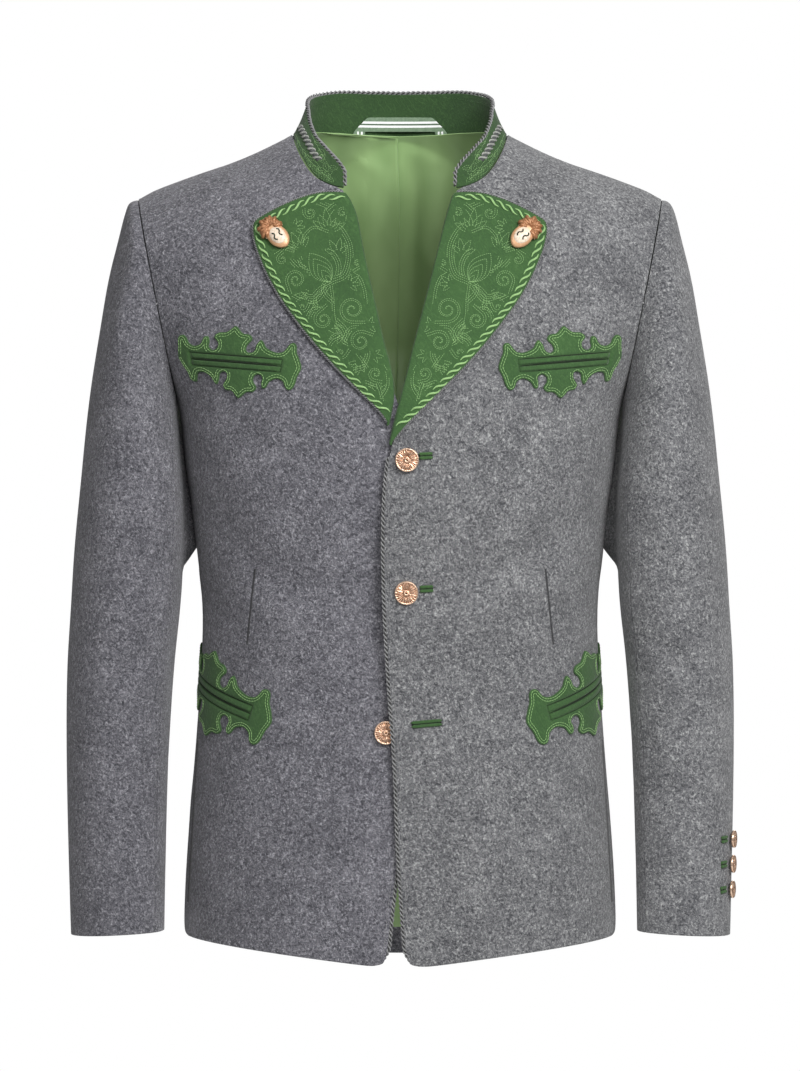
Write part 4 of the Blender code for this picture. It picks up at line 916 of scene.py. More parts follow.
def needlework():
    """Every line of one lapel's stitching, each with the places that it passes round."""
    scroll_rooms = [(x, z, size + SCROLL_ROOM) for x, z, size, *_ in SCROLLS]
    lines = []
    for number, (x, z, size, turns, start, way, lead) in enumerate(SCROLLS):
        others = scroll_rooms[:number] + scroll_rooms[number + 1:]
        for less in (0, SCROLL_APART):
            lines.append((spiral(x, z, size - less, turns, start, way, lead), others))
    x, z, angle, petals = BUD
    for length, width in petals:
        lines.append((leaf(x, z, length, angle, width)[0], scroll_rooms))
    rooms = scroll_rooms + list(BUD_ROOM)
    for x, z, length, angle, petals, spread in FANS:
        foot = [(x, z, length * FAN_FOOT)]
        for share in np.linspace(-0.5, 0.5, petals):
            outline, _ = leaf(x, z, length * (1 - FAN_TAPER * abs(share)), angle + spread * share, PETAL)
            lines.append((outline, rooms + foot))
    for stem in STEMS:
        middle = rounded(stem, 0.8)
        lines += [(inset(middle, by * STEM_APART / 2), rooms) for by in (-1, 1)]
    for count, *route in PLUMES:
        outer = rounded(route, 0.8)
        bend = np.cross(outer[-1] - outer[0], outer[len(outer) // 2] - outer[0])
        for number in range(count):
            line = inset(outer, number * PLUME_APART * (1 if bend > 0 else -1))
            lines.append((line[number: int(len(line) * (1 - PLUME_TAPER * number))], rooms))
    return lines


lapel_lines = needlework()
lapel_top = rounded(LAPEL_TOP)
facings, lapel_backs = {}, []
for side, word in SIDE_WORD.items():
    turned, faced = f"lapel_{word}", f"lapel_facing_{word}"
    lapel_backs.append(add_piece(f"loden_{turned}", fine_mesh(turned), loden_grey, "loden_grey", turned))
    facings[side] = add_piece(f"felt_{turned}", fine_mesh(faced), felt_green, "felt_green", faced)
    cloth = Surface(facings[side])
    rope, lines = Bundle(), Bundle()
    rim = rounded(((40, -29.5),) + LAPEL_TOP + LAPEL_EDGE[1:-1] + LAPEL_FOOT[side], 1.0)
    rope_line = inset(rim, ROPE_INSET)
    rope_line = rope_line[gap_to(rope_line, rim) > ROPE_INSET * KEPT_INSET]
    rope_line = rope_line[rope_line[:, 0] - np.interp(rope_line[:, 1], *FOLD_BY_HEIGHT) > ROPE_OFF_FOLD]
    places, ups = on_surface(cloth, rounded(rope_line[::3], 0.9) * [side, 1])
    chained(rope, places, ups, ROPE_WIDTH * MM, ROPE_PITCH * MM, ROPE_THREAD * MM, side)
    for line, crossed in lapel_lines:
        keep = inside(line, lapel_area) & (gap_to(line, rope_line) > OFF_ROPE)
        keep &= (gap_to(line, LAPEL_FOLD) > OFF_FOLD) & (gap_to(line, lapel_top) > OFF_TOP)
        for x, z, room in crossed:
            keep &= np.hypot(line[:, 0] - x, line[:, 1] - z) > room
        for run in kept_runs(line * [side, 1], keep):
            stitched(lines, *on_surface(cloth, run), *LAPEL_STITCH)
    rope.piece(f"lapel_rope_{word}", thread_pale, "felt_green")
    lines.piece(f"lapel_stitching_{word}", thread_mid, "felt_green")

# ---------------------------------------------------------------- edge cords
# Two-ply twisted grey cord sewn against the cut edges of the collar, the lapels and the fronts.

CORDS = {  # radius and pitch in millimetres
    "collar_cord": (2.0, 9.0), "lapel_cord_left": (1.1, 4.9), "lapel_cord_right": (1.1, 4.9),
    "front_cord_left": (1.95, 8.4), "front_cord_right": (1.95, 8.4),
}
CAP_ANGLE, CAP_REACH = 1.1, 0.006  # a CAD cord's end caps: the angle of their edges, and their width
STRAND, CORE = 0.36, 0.45  # a strand's radius and the dark core's, of their cord's; the core's darkness is painted shade between the strands
CORD_OFF = 0.62  # a cord's middle lies this share of its radius off the cloth
EDGE_SEAM, SEAM_FOOT = 4.3, -0.688  # a row of grey stitches holds each front's cord, down to this height
EDGE_STITCH = (2.6, 0.5, 0.22)
# Each front's cord ends where the corner runs into the hem. It starts some rings up, and over some
# points it is tucked behind the corner: outward, back and up.
CORNER_RINGS, TUCK_POINTS, TUCK = 4, 36, (0.0026, 0.0034, 0.0030)
both_lapels = Surface(*facings.values(), *lapel_backs)
edge_cloth = {
    "collar": collar_front, "front_left": Surface(front_left), "front_right": Surface(front_right),
    "lapel_left": both_lapels, "lapel_right": both_lapels,
}


def node_route(node):
    """The middle line of a CAD cord, ring by ring from one cap to the other."""
    work = welded(node)
    caps = {vert for edge in work.edges if edge.calc_face_angle(0) > CAP_ANGLE for vert in edge.verts}
    first = min(caps, key=lambda vert: vert.co.x)
    ring = {vert for vert in caps if (vert.co - first.co).length < CAP_REACH}
    seen, route = set(ring), []
    while ring:
        route.append(np.mean([vert.co[:] for vert in ring], axis=0))
        ring = {edge.other_vert(vert) for vert in ring for edge in vert.link_edges} - seen
        seen |= ring
    work.free()
    return np.array(route)


def twisted(bundle, path, ups, radius, pitch):
    """Two strands laid round each other about a path."""
    run = run_of(path)
    across, out = square_to(path, ups)
    strand = radius * STRAND
    for ply in (0, 0.5):
        phase = 2 * math.pi * (run / pitch + ply)
        centre = path + (across * np.cos(phase)[:, None] + out * np.sin(phase)[:, None]) * (radius - strand)
        bundle.tube(centre, strand, ups)


def snug(route, cloth, off):
    """A route drawn to a set distance from the nearest cloth."""
    drawn = []
    for point in route:
        nearest = np.array(cloth.tree.find_nearest(Vector(point))[0])
        drawn.append(nearest + unit(point - nearest) * off)
    return smoothed(np.array(drawn), 4)


for node, (radius, pitch) in CORDS.items():
    route = node_route(node)
    if node == "collar_cord":
        route = pressed(route)
    if route[0][2] > route[-1][2]:
        route = route[::-1]
    if node.startswith("front"):
        route = route[CORNER_RINGS:]
    cloth = edge_cloth[node.replace("_cord", "")]
    route = snug(rounded(route, 0.0005), cloth, radius * CORD_OFF * MM)
    if node.startswith("front"):
        out = 1 if node.endswith("left") else -1
        tucked = np.clip(1 - np.arange(len(route)) / TUCK_POINTS, 0, 1)[:, None]
        route = route + tucked * [out * TUCK[0], *TUCK[1:]]
        beside = route[route[:, 2] > SEAM_FOOT][::2] / MM + [out * EDGE_SEAM, 0, 0]
        seam = Bundle()
        stitched(seam, *on_surface(cloth, beside[:, [0, 2]]), *EDGE_STITCH)
        seam.piece("edge_stitching_" + SIDE_WORD[out], cord_grey, "cord_grey")
    ups = body_outward(route)
    strands, middle = Bundle(), Bundle()
    twisted(strands, route, ups, radius * MM, pitch * MM)
    strands.piece("twisted_" + node, cord_grey, "cord_grey", node)
    # A near-black tube inside the cord paints the shade seen between its two strands.
    middle.tube(route[::4], radius * MM * CORE, ups[::4])
    middle.piece("shade_core_" + node, cord_gap_shade, "cord_grey")

# ---------------------------------------------------------------- pocket patches
# Cut-out patches of thick green felt, two rows of pale stitching round the edge, and a slit
# between two welts inside a pressed frame. The chest pair is small, the side pair large.

# Half of a patch's outline in half lengths and half heights, from its outer tip over the top.
# The other half is the same, turned round.
PATCH_HALF = (
    (1.00, 0.02), (0.96, 0.28), (0.94, 0.50), (0.90, 0.635), (0.84, 0.65), (0.795, 0.57), (0.76, 0.43),
    (0.66, 0.37), (0.56, 0.46), (0.51, 0.64), (0.455, 0.66), (0.43, 0.52), (0.44, 0.37), (0.38, 0.29),
    (0.31, 0.35), (0.30, 0.50), (0.36, 0.66), (0.31, 0.79), (0.20, 0.82), (0.12, 0.95), (0.075, 1.0),
    (0.03, 0.95), (-0.05, 0.82), (-0.16, 0.79), (-0.21, 0.66),
    (-0.15, 0.50), (-0.14, 0.35), (-0.20, 0.29), (-0.27, 0.37), (-0.29, 0.54), (-0.335, 0.67), (-0.385, 0.60),
    (-0.44, 0.46), (-0.58, 0.36), (-0.69, 0.39), (-0.74, 0.51), (-0.77, 0.63), (-0.83, 0.66), (-0.875, 0.58),
    (-0.895, 0.40), (-0.955, 0.20),
)
POCKETS = (  # name, own side middle x, z, half length, half height, tilt, welt length, height, shift
    ("chest", 141.5, -177.0, 60.5, 31.0, 5.0, 88.0, 5.2, 2.0),
    ("side", 165.0, -465.0, 80.0, 37.0, 16.6, 112.0, 6.4, 0.0),
)
PATCH_LIFT, PATCH_FELT, PATCH_ROUND = 0.15, 1.9, 1.1  # bottom off the loden, thickness, edge rounding
PATCH_ROWS, PATCH_STITCH = (1.5, 3.6), (2.3, 0.4, 0.25)  # the stitched rows' distances from the edge
ROW_DEEP, ROW_WIDE = 0.22, 0.6  # how deep and wide each row is pulled into the felt
# Rings of the patch's own mesh: distance from the edge, and every how many points.
PATCH_RINGS = ((0.35, 1), (0.9, 1), (1.7, 1), (2.8, 2), (4.2, 2))
RING_KEPT, FRAME_OFF, GRID_OFF, GRID_STEP = 0.8, 1.9, 5.4, 3.0  # how near the edge its points come
FRAME_DEEP, FRAME_GAP, SLIT_GAP = 1.4, 1.0, 0.85  # the pressed frame, and what is open beside the welts
FRAME_FLOOR, FRAME_STEP = PATCH_LIFT + PATCH_FELT - FRAME_DEEP, 0.45  # its level, and its side's half width
WELT_ROWS, WELT_STEPS, WELT_HIGH = 9, 60, 1.35
FAR_TURN = math.radians(150)  # every pocket lies nearer the front than this turn round the body


def closed(loop):
    """A loop of points with its first point again at the end."""
    return np.vstack([loop, loop[:1]])


def patch_outline(half_length, half_height):
    half = np.array(PATCH_HALF) * [half_length, half_height]
    corners = np.vstack([half, -half])
    loop = curve_through(np.vstack([corners[-1:], corners, corners[:3]]), 8)
    return resample(closed(loop), 1.1)[:-1]


class PocketPlace:
    """A pocket's own plane wrapped on the body: x outward and y up, in millimetres."""

    def __init__(self, body, side, x, z, tilt):
        self.body, self.side, self.z = body, side, z
        self.tilt = math.radians(tilt)
        self.turns = np.linspace(0, FAR_TURN, 150)
        ring = np.array([body.around(side * turn, z * MM)[0] for turn in self.turns])
        self.run = run_of(ring) / MM
        near = int(np.argmax(side * ring[:, 0] >= x * MM)) + 1
        self.start = np.interp(x * MM, side * ring[:near, 0], self.run[:near])

    def lay(self, flat, height):
        """Places and outward directions of flat points, raised off the body."""
        flat = np.asarray(flat, float)
        level, upright = math.cos(self.tilt), math.sin(self.tilt)
        turns = np.interp(self.start + flat[:, 0] * level - flat[:, 1] * upright, self.run, self.turns)
        rise = self.z + flat[:, 0] * upright + flat[:, 1] * level
        places = np.array([self.body.around(self.side * turn, up * MM)[0] for turn, up in zip(turns, rise)])
        ups = body_outward(places)
        return places + ups * np.broadcast_to(height, len(flat))[:, None] * MM, ups


def faced_out(mesh):
    """The mesh with every face looking outward."""
    work = bmesh.new()
    work.from_mesh(mesh)
    bmesh.ops.recalc_face_normals(work, faces=work.faces)
    work.to_mesh(mesh)
    work.free()
    mesh.shade_smooth()
    return mesh


def wall(name, place, flat, faces, top, bottom):
    """A closed wall over flat faces, from their top heights to their bottom height."""
    above, _ = place.lay(flat, top)
    below, _ = place.lay(flat, bottom)
    count = len(flat)
    steps = {pair for face in faces for pair in zip(face, (*face[1:], face[0]))}
    sides = [(b, a, a + count, b + count) for a, b in steps if (b, a) not in steps]
    lower = [tuple(index + count for index in face[::-1]) for face in faces]
    made = bpy.data.meshes.new(name)
    made.from_pydata(np.vstack([above, below]).tolist(), [], [tuple(face) for face in faces] + lower + sides)
    return faced_out(made)


def patch(name, place, half_length, half_height, slot_half, shift):
    """A patch's wall, with its frame of half sizes slot_half pressed in."""
    outline = patch_outline(half_length, half_height)
    loop = closed(outline)

    def well_inside(flat, by):
        return flat[inside(flat, outline) & (gap_to(flat, loop) > by)]

    points = [outline]
    for by, step in PATCH_RINGS:
        points += [well_inside(inset(loop, by * flip)[:-1:step], by * RING_KEPT) for flip in (1, -1)]
    corners = np.array([(-1, -1), (1, -1), (1, 1), (-1, 1), (-1, -1)]) * slot_half
    for by in (-FRAME_STEP, FRAME_STEP):
        points.append(well_inside(resample(corners * (1 + by / slot_half) + [shift, 0], 1.1), FRAME_OFF))
    across, up = np.meshgrid(*(np.arange(-half, half, GRID_STEP) for half in (half_length, half_height)))
    points.append(well_inside(np.column_stack([across.ravel(), up.ravel()]), GRID_OFF))
    rim = list(range(len(outline)))
    corners = [Vector(point) for point in np.vstack(points)]
    flat, _, faces, _, _, _ = geometry.delaunay_2d_cdt(corners, [], [rim], 1, 1e-5)
    flat = np.array([tuple(point) for point in flat])
    edge = gap_to(flat, loop)
    fall = (1 - np.clip(edge / PATCH_ROUND, 0, 1)) ** 2
    top = PATCH_LIFT + PATCH_FELT * np.sqrt(1 - fall * 0.9)
    for row in PATCH_ROWS:
        top -= ROW_DEEP * np.exp(-(((edge - row) / ROW_WIDE) ** 2))
    within = (slot_half - abs(flat - [shift, 0])).min(axis=1)
    top -= FRAME_DEEP * ease((within + FRAME_STEP) / (2 * FRAME_STEP))
    return wall(name, place, flat, faces, top, PATCH_LIFT - 0.1), outline


def welt(name, place, length, height, shift, sign):
    """A folded lip of felt, rounded toward the slit and flatter outside."""
    rows, steps = WELT_ROWS, WELT_STEPS
    across = np.linspace(0, 1, rows)
    x = shift + np.linspace(-length / 2, length / 2, steps)
    y = sign * (SLIT_GAP + across * (height - SLIT_GAP))
    flat = np.array([(a, b) for b in y for a in x])
    swell = np.sqrt(np.maximum(1 - (2 * across - 1) ** 4, 0)) * (1.15 - 0.25 * across)
    end = np.clip(np.minimum(np.arange(steps), np.arange(steps)[::-1]) / 1.5, 0.25, 1)
    top = FRAME_FLOOR + WELT_HIGH * (swell[:, None] * end[None]).ravel()
    corners = [row * steps + step for row in range(rows - 1) for step in range(steps - 1)]
    faces = [(corner, corner + 1, corner + steps + 1, corner + steps) for corner in corners]
    return wall(name, place, flat, faces, top, FRAME_FLOOR - 0.15)


# A near-black green: painted shade in the pockets' slits and beside their welts, in the buttonholes' slits
# and in the buttons' eyes; on the studs it is the hooks' own dark colour.
def shade_and_hook_paint(place):
    tone = noise(place, 0.002, 2)
    return {"Base Color": tone.ramp((0.3, (0.008, 0.016, 0.007)), (0.7, (0.020, 0.034, 0.016)))}


painted_shade_and_hook_dark = finish_of("painted_shade_and_hook_dark", shade_and_hook_paint, Roughness=1.0)
body_cloth = Surface(front_left, front_right, back)
for side, word in SIDE_WORD.items():
    for name, x, z, half_length, half_height, tilt, length, height, shift in POCKETS:
        place = PocketPlace(body_cloth, side, x, z, tilt)
        frame_half = np.array([length / 2 + FRAME_GAP, height + FRAME_GAP])
        mesh, outline = patch(f"{name}_patch", place, half_length, half_height, frame_half, shift)
        node = f"{name}_patch_{word}"
        felted = add_piece("felt_" + node, mesh, felt_green, "felt_green", node)
        for level, sign in (("upper", 1), ("lower", -1)):
            mesh = welt("welt", place, length, height, shift, sign)
            node = f"{name}_welt_{level}_{word}"
            add_piece("felt_" + node, mesh, felt_green, "felt_green", node)
        rows = Bundle()
        loop = closed(outline)
        for row in PATCH_ROWS:
            line = inset(loop, row)
            if not inside(line[:1], outline)[0]:
                line = inset(loop, -row)
            keep = inside(line, outline) & (gap_to(line, loop) > row * KEPT_INSET)
            keep &= ~(abs(line - [shift, 0]) < frame_half + 1.0).all(axis=1)
            for run in kept_runs(line, keep):
                stitched(rows, *place.lay(resample(run, 0.8), PATCH_LIFT + PATCH_FELT - 0.05), *PATCH_STITCH)
        rows.piece(f"{name}_patch_stitching_{word}", thread_pale, "felt_green")
        # A dark strip along the slit paints the shade inside the pocket's opening; two thinner ones paint the
        # shadows beside the welts.
        slit = Bundle()
        share = np.linspace(-1, 1, 70)
        above, below = height + FRAME_GAP * 0.4, -height - FRAME_GAP * 0.5  # the shadows beside the welts
        for level, thick, bow in ((0.0, 0.75, 0.5), (above, 0.42, 0.0), (below, 0.22, 0.0)):
            slit_line = np.column_stack([shift + share * length / 2, level + bow * (1 - share**2) - bow / 2])
            places, ups = place.lay(slit_line, FRAME_FLOOR + 0.35)
            slit.tube(places, thick * MM * np.sqrt(1.05 - share**2), ups)
        slit.piece(f"{name}_slit_{word}", painted_shade_and_hook_dark, "felt_green")

# ---------------------------------------------------------------- buttonholes
# Piped holes in the left front and the cuffs: two slim rolls of green felt with a dark strip of
# painted shade in the slit between them. The lowest is long and open, since its button is left undone.

HOLE_PIPE, HOLE_APART = 1.45, 1.7  # radius of a roll, and how far it lies from the slit's middle
HOLE_SLIT, VIEW_BACK = 0.7, 0.02  # radius of the slit's dark strip of painted shade, and how far off the cloth is looked for
CUFF_MIDDLE = (0.2475, -0.03)  # own side x and y


def form_of(node):
    """A CAD form's points about their middle, that middle, and its axes from longest to shortest."""
    points = points_of(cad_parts[node].data)
    middle = points.mean(axis=0)
    return points - middle, middle, np.linalg.svd(points - middle)[2]


def cuff_outward(node, side):
    """The way from a cuff's middle out to a form on it."""
    middle = points_of(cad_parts[node].data).mean(axis=0)
    return middle - np.array([side * CUFF_MIDDLE[0], CUFF_MIDDLE[1], middle[2]])


def piped_hole(node, cloth, view):
    """Two rolls along the CAD hole's longest side, and under them a dark strip that paints the shade in the
    slit.
    """
    points, middle, (along, across, _) = form_of(node)
    half = abs(points @ along).max()

    def laid(steps, share, aside, out):
        line = middle + along * np.linspace(-half, half, steps)[:, None] * share + across * aside
        hits = [cloth.hit(point - view * VIEW_BACK, view, out) for point in line]
        return (np.array(rows) for rows in zip(*hits))

    rolls, slit = Bundle(), Bundle()
    end = np.minimum(np.arange(24), np.arange(24)[::-1]) / 2.0
    for sign in (1, -1):
        places, ups = laid(24, 1, sign * HOLE_APART * MM, HOLE_PIPE * MM * 0.45)
        rolls.tube(places, HOLE_PIPE * MM * np.sqrt(np.clip(end, 0.15, 1)), ups, 10)
    places, ups = laid(12, 0.96, 0, 0.1 * MM)
    slit.tube(places, HOLE_SLIT * MM, ups)
    return rolls, slit


sleeve_cloth = {side: Surface(*sleeves[side]) for side in (LEFT, RIGHT)}
holes = [(f"buttonhole_{number}", body_cloth, np.array([0, 1.0, 0])) for number in (1, 2, 3)]
for side, word in SIDE_WORD.items():
    for number in (1, 2, 3):
        node = f"cuff_buttonhole_{number}_{word}"
        holes.append((node, sleeve_cloth[side], -unit(cuff_outward(node, side))))
for node, cloth, view in holes:
    rolls, slit = piped_hole(node, cloth, view)
    rolls.piece("piped_" + node, felt_green, "felt_green", node)
    slit.piece("slit_" + node, painted_shade_and_hook_dark, "felt_green")

# ---------------------------------------------------------------- buttons
# Cast rose-gold buttons with a rayed, antler-like ring inside a smooth rim, and a raised eye whose
# hole is a dark tube of painted shade. Each is sewn through the front with a shank and stands just off the
# cloth.

# Share of the radius, height as a share of the radius, and how deep the rays cut there.
BUTTON_PROFILE = (
    (0.06, 0.12, 0), (0.10, 0.36, 0), (0.16, 0.41, 0), (0.22, 0.34, 0.3), (0.29, 0.30, 0.9),
    (0.36, 0.31, 1), (0.43, 0.33, 1), (0.50, 0.34, 1), (0.57, 0.35, 1), (0.64, 0.35, 1), (0.71, 0.34, 1),
    (0.78, 0.33, 1), (0.84, 0.33, 0.9), (0.885, 0.35, 0.3), (0.93, 0.37, 0), (0.975, 0.33, 0), (1.0, 0.22, 0),
    (0.97, 0.10, 0), (0.7, 0.05, 0),
)
BUTTON_STEPS, RAYS, FINE_RAYS, RAY_DEEP = 176, 27, 41, 0.062
BUTTON_TOP = 0.41  # the profile's greatest height, which the CAD button's thickness is fitted to
EYE_HOLE = 0.075  # radius of the eye's hole, a dark tube of painted shade, of the button's


def metal_paint(place):
    grain = noise(place, 0.0011, 3, 0.6)
    worn = place.make("NewGeometry", out=7).between(0.44, 0.53)
    tone = worn * 0.62 + grain * 0.22 + noise(place, 0.004, 2) * 0.16
    colour = tone.ramp((0.15, (0.10, 0.040, 0.020)), (0.42, (0.44, 0.205, 0.110)),
                       (0.62, (0.76, 0.450, 0.290)), (0.9, (0.93, 0.70, 0.54)))
    return {"Base Color": colour, "Normal": grain.bump(0.25, 0.0004), "Roughness": 0.50 - worn * 0.22}


rose_metal = finish_of("rose_metal", metal_paint, Metallic=0.85)


def button(node, outside):
    """A cast button in the place of a CAD one, with a dark tube of painted shade in the hole of its eye."""
    points, middle, axes = form_of(node)
    normal = axes[2] * (1 if axes[2] @ outside > 0 else -1)
    across, up = axes[0], np.cross(normal, axes[0])
    radius = abs(points @ across).max()
    low, high = (points @ normal).min(), (points @ normal).max()
    turn = turns_of(BUTTON_STEPS)
    rays = 0.6 * np.sin(turn * RAYS + 0.9 * np.sin(turn * 5))
    rays += 0.4 * np.sin(turn * FINE_RAYS + 1.3 * np.sin(turn * 3))
    rings = []
    for share, height, cut in BUTTON_PROFILE:
        wave = rays * (0.7 + 0.3 * np.cos(share * 17 + 2.1 * np.sin(turn * 4)))
        level = low + (high - low) * (height / BUTTON_TOP) + wave * cut * radius * RAY_DEEP
        ring = middle + radius * share * (across * np.cos(turn)[:, None] + up * np.sin(turn)[:, None])
        rings.append(ring + normal * level[:, None])
    cast, eye = Bundle(), Bundle()
    cast.rings(np.array(rings))
    add_piece("rose_" + node, faced_out(cast.mesh(node)), rose_metal, "rose_metal", node)
    eye.tube(middle + normal * (low + (high - low) * np.array([0.2, 0.52]))[:, None], radius * EYE_HOLE,
             np.array([across, across]), 12)
    eye.piece("eye_" + node, painted_shade_and_hook_dark, "rose_metal")


for number in (1, 2, 3):
    button(f"front_button_{number}", np.array([0, -1.0, 0]))
    for side, word in SIDE_WORD.items():
        node = f"cuff_button_{number}_{word}"
        button(node, cuff_outward(node, side))

# ---------------------------------------------------------------- lapel studs
# Cast copper charms in the shape of an antler's foot: a ruffled burr, and a cut stub whose cream
# face carries two dark hooks. Each is pinned through the lapel's corner, its stub inward.

STUD_AT, STUD_TILT = (110.5, -63.0), 49.0
# Along the stub, and its half width there.
STUB = ((-3, 6.4), (0, 7.4), (4, 8.3), (8, 8.7), (12, 8.2), (16, 6.4), (19, 3.4), (20.2, 0.8))
STUB_DEEP, STUB_STEPS = 0.40, 32
# The cream face: its middle along the stub, half length, half width, swell, and height off the felt.
FACE_AT, FACE_LONG, FACE_WIDE, FACE_DEEP, FACE_UP = 8.0, 8.8, 6.6, 3.0, 5.5
HOOKS = (  # along, across
    ((3.4, -2.7), (4.9, -3.9), (6.9, -3.3), (8.0, -2.1), (9.6, -1.9), (11.6, -3.0)),
    ((4.2, 3.0), (5.7, 1.9), (7.5, 2.5), (8.6, 3.8), (10.3, 3.9), (12.0, 2.7)),
)
RUFFLES, RUFFLE_TURN = 15, 112.0  # ribs of the burr, and how far they spread to each side
RUFFLE_RUN = ((1.8, 4.6), (4.0, 6.0), (6.4, 6.6), (8.6, 5.8), (10.0, 4.2), (10.4, 2.4))  # out and up
# Half sizes of a rib's knob and of the boss under the ribs, and a hook's radius.
RUFFLE_TIP, BOSS, HOOK_THICK = (1.5, 1.35, 1.5), (8.6, 8.8, 3.0), 0.62


def cream_paint(place):
    grain = noise(place, 0.0016, 2)
    colour = grain.ramp((0.3, (0.70, 0.54, 0.40)), (0.7, (0.88, 0.77, 0.63)))
    return {"Base Color": colour, "Normal": grain.bump(0.15, 0.0003)}


def copper_paint(place):
    grain = noise(place, 0.0009, 3, 0.6)
    hollow = place.make("NewGeometry", out=7).between(0.42, 0.56)
    tone = hollow * 0.7 + grain * 0.3
    colour = tone.ramp((0.15, (0.34, 0.150, 0.066)), (0.5, (0.80, 0.47, 0.265)), (0.9, (0.95, 0.74, 0.56)))
    return {"Base Color": colour, "Normal": grain.bump(0.3, 0.0004)}


stub_cream = finish_of("stub_cream", cream_paint, Roughness=0.42)
burr_copper = finish_of("burr_copper", copper_paint, Roughness=0.38, Metallic=0.3)


def blob(bundle, middle, axes, sizes, steps):
    """An egg-shaped form on three axes, its half sizes in millimetres."""
    long, wide, deep = np.array(sizes) * MM
    share = np.linspace(0.04, 0.96, 11) * math.pi
    path = middle - axes[0] * (np.cos(share) * long)[:, None]
    turn = turns_of(steps)
    girth = axes[1] * (np.cos(turn) * wide)[:, None] + axes[2] * (np.sin(turn) * deep)[:, None]
    bundle.rings(path[:, None] + np.sin(share)[:, None, None] * girth[None])


for side, word in SIDE_WORD.items():
    x, z = STUD_AT
    foot, normal = Surface(facings[side]).ahead(side * x * MM, z * MM)
    tilt = math.radians(STUD_TILT)
    axis = np.array([-side * math.cos(tilt), 0, -math.sin(tilt)])
    axis = unit(axis - normal * (axis @ normal))
    across = np.cross(axis, normal)
    crown, face, hooks = Bundle(), Bundle(), Bundle()
    start = foot - axis * 1.5 * MM
    for number in range(RUFFLES):
        angle = math.radians(RUFFLE_TURN * (2 * number / (RUFFLES - 1) - 1))
        ray = -axis * math.cos(angle) + across * math.sin(angle)
        run = rounded(RUFFLE_RUN, 0.8)
        stretch = 1 + 0.10 * math.sin(number * 2.6) - 0.12 * abs(math.sin(angle)) ** 3
        sway = 0.5 * np.sin(run[:, 0] * 0.9 + number * 1.7)
        path = start + ray * (run[:, :1] * stretch * MM) + normal * (run[:, 1:] * MM)
        path = path + np.cross(normal, ray) * (sway[:, None] * MM)
        thick = (0.75 + 0.085 * run[:, 0] + 0.25 * np.sin(run[:, 0] * 1.6 + number * 2.3)) * MM
        crown.tube(path, thick, np.tile(normal, (len(path), 1)), 9)
        blob(crown, path[-2], (ray, np.cross(normal, ray), normal), RUFFLE_TIP, 9)
    blob(crown, start + normal * 2.2 * MM, (axis, across, normal), BOSS, 28)
    turn = turns_of(STUB_STEPS)
    rings = [foot + axis * (along * MM) + normal * 3.2 * MM
             + across * (np.cos(turn) * half * MM)[:, None]
             + normal * (np.sin(turn) * (0.6 + half * STUB_DEEP) * MM)[:, None]
             for along, half in rounded(STUB, 1.0)]
    crown.rings(np.array(rings))
    blob(face, foot + axis * FACE_AT * MM + normal * FACE_UP * MM, (axis, across, normal),
         (FACE_LONG, FACE_WIDE, FACE_DEEP), 32)
    for hook in HOOKS:
        line = rounded(hook, 0.5)
        path = foot + axis * (line[:, :1] * MM) + across * (line[:, 1:] * MM)
        left = 1 - ((line[:, 0] - FACE_AT) / FACE_LONG) ** 2 - (line[:, 1] / FACE_WIDE) ** 2
        lift = FACE_UP + FACE_DEEP * np.sqrt(np.maximum(left, 0.02))
        hooks.tube(path + normal * (lift * MM)[:, None], HOOK_THICK * MM, np.tile(normal, (len(path), 1)), 8)
    crown.piece(f"stud_{word}", burr_copper, "rose_metal", f"lapel_stud_{word}")
    face.piece(f"stud_face_{word}", stub_cream, "rose_metal")
    hooks.piece(f"stud_hooks_{word}", painted_shade_and_hook_dark, "rose_metal")

# ---------------------------------------------------------------- hanger loop
# A woven ribbon sewn in under the collar at the back of the neck, grey-green with two white
# stripes. Its ends are folded down, so the stripes turn upright there.

RIBBON_STRIPES = ((0.0429, 0.0010), (0.0394, 0.0010))  # height of each white stripe's middle, half width
TAB_STRIPES = ((-0.0376, 0.0008), (-0.0342, 0.0008), (0.0346, 0.0008), (0.0378, 0.0008))
TAB_TOP, DARK_LINE = 0.0346, (0.0412, 0.0004)
RIBBON_COLOURS = (  # the ground, the white stripes and the dark line, each from its darkest to its lightest
    ((0.125, 0.205, 0.120), (0.200, 0.290, 0.185)), ((0.86, 0.88, 0.86), (0.97, 0.98, 0.97)),
    ((0.035, 0.070, 0.035), (0.06, 0.10, 0.055)),
)


def stripe(value, middle, half):
    """1 where a value is within half of the middle."""
    off = value - middle
    return off.math("LESS_THAN", off.math("ABSOLUTE", off), half)


def ribbon_paint(place):
    x, z = place.part(0), place.part(2)
    on_tab = z.math("LESS_THAN", z, TAB_TOP)
    bar = stripe(z, *RIBBON_STRIPES[0]) + stripe(z, *RIBBON_STRIPES[1])
    tab = stripe(x, *TAB_STRIPES[0])
    for middle, half in TAB_STRIPES[1:]:
        tab = tab + stripe(x, middle, half)
    white = bar * (1 - on_tab) + tab * on_tab
    dark = stripe(z, *DARK_LINE) * (1 - on_tab)
    ribs = place.make("TexWave", {"wave_type": "BANDS", "bands_direction": "X"},
                      {"Vector": place, "Scale": 1100.0})
    cloud = noise(place, 0.002, 2)
    ground, pale, deep = (cloud.ramp((0.3, low), (0.7, high)) for low, high in RIBBON_COLOURS)
    colour = dark.mixed(white.mixed(ground, pale), deep)
    return {"Base Color": colour, "Normal": (ribs + cloud * 0.5).bump(0.3, 0.0003)}


ribbon = finish_of("ribbon_striped", ribbon_paint, Roughness=0.6)
loop = add_piece("hanger_ribbon", fine_mesh("hanger_loop", 3), ribbon, "ribbon_striped", "hanger_loop")

# ---------------------------------------------------------------- studio
# A pale round floor under the hanging jacket, soft light from both sides and above, and a
# long lens level with the jacket's middle.

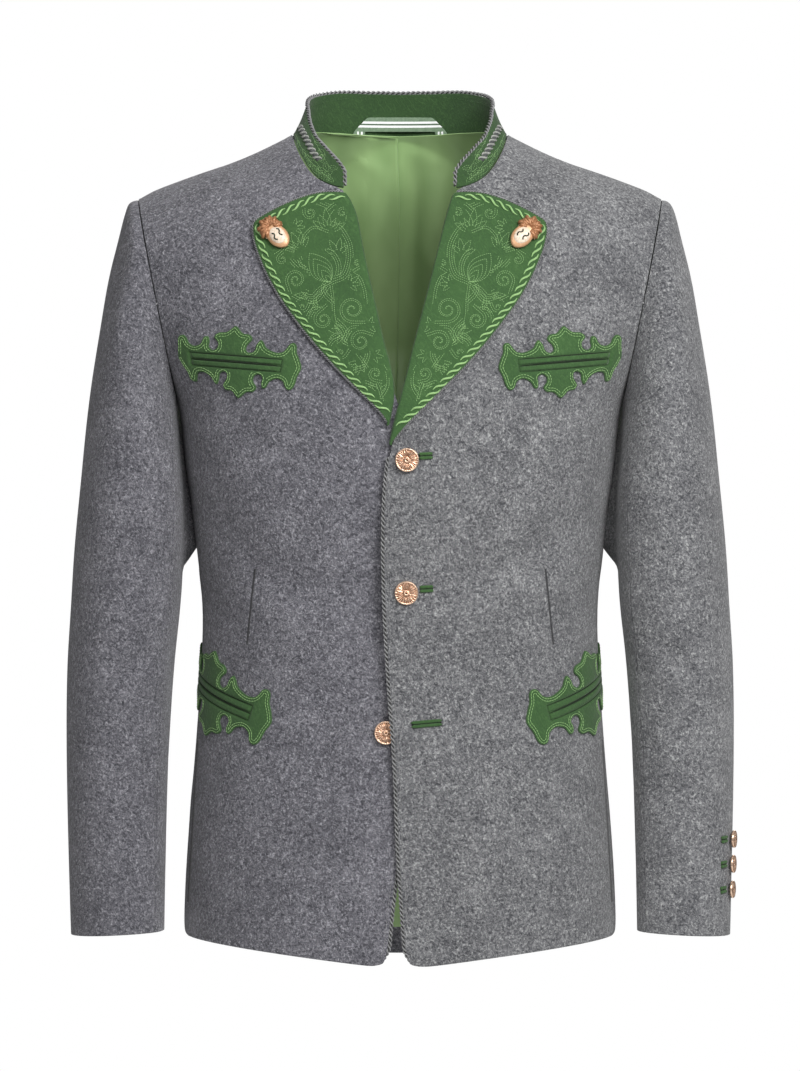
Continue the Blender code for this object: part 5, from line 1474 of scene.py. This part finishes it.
EYE = (0.0, -4.5, -0.327)
LENS = 171.0
FLOOR_LEVEL, FLOOR_RADIUS = -0.98, 1.25
AMBIENT = 0.15  # the room's white walls light the cloth less than they show
LIGHTS = (  # name, place, what it faces, size, power
    ("key_light", (1.3, -2.0, 0.75), (0.1, 0, -0.2), (1.0, 1.0), 47),
    ("fill_light", (-1.5, -2.4, 0.8), (-0.1, 0, -0.2), (1.2, 1.2), 16),
    ("front_light", (0.30, -1.8, 0.85), (0.02, 0.0, -0.10), (0.8, 0.8), 16),
    ("top_light", (0.0, 0.2, 2.3), (0, 0, -0.2), (1.8, 1.2), 9),
    ("back_light", (0.3, 2.8, 0.8), (0, 0, -0.3), (2.2, 1.8), 26),
)


def floor_paint(place):
    return {"Base Color": noise(place, 0.4, 2).ramp((0.3, (0.86, 0.86, 0.86)), (0.7, (0.90, 0.90, 0.895)))}


bpy.ops.mesh.primitive_circle_add(vertices=96, radius=FLOOR_RADIUS, fill_type="NGON",
                                  location=(0, 0, FLOOR_LEVEL))
floor = bpy.context.object
floor.name = "floor"
floor.data.materials.append(finish_of("floor_white", floor_paint, Roughness=0.9))

for name, place, target, size, power in LIGHTS:
    glow = bpy.data.lights.new(name, "AREA")
    glow.shape, glow.size, glow.size_y = "RECTANGLE", *size
    glow.energy = power
    light = linked(name, glow)
    light.location = place
    light.rotation_euler = (Vector(target) - Vector(place)).to_track_quat("-Z", "Y").to_euler()

world = bpy.data.worlds.new("white_room")
bpy.context.scene.world = world
world.use_nodes = True
sky = Shade(world.node_tree)
seen = sky.make("LightPath")
backdrop = sky.make("Background", None, {"Color": (1, 1, 1, 1), "Strength": 1.0})
ambient = sky.make("Background", None, {"Color": (1, 1, 1, 1), "Strength": AMBIENT})
either = sky.make("MixShader", None, {0: seen, 1: ambient, 2: backdrop})
world.node_tree.links.new(either.socket, world.node_tree.nodes["World Output"].inputs["Surface"])
bpy.context.scene.view_settings.view_transform = "Standard"

camera_data = bpy.data.cameras.new("camera")
camera_data.sensor_width = 36
camera_data.lens = LENS
camera = linked("camera", camera_data)
camera.location = EYE
camera.rotation_euler = (math.radians(90), 0, 0)
bpy.context.scene.camera = camera
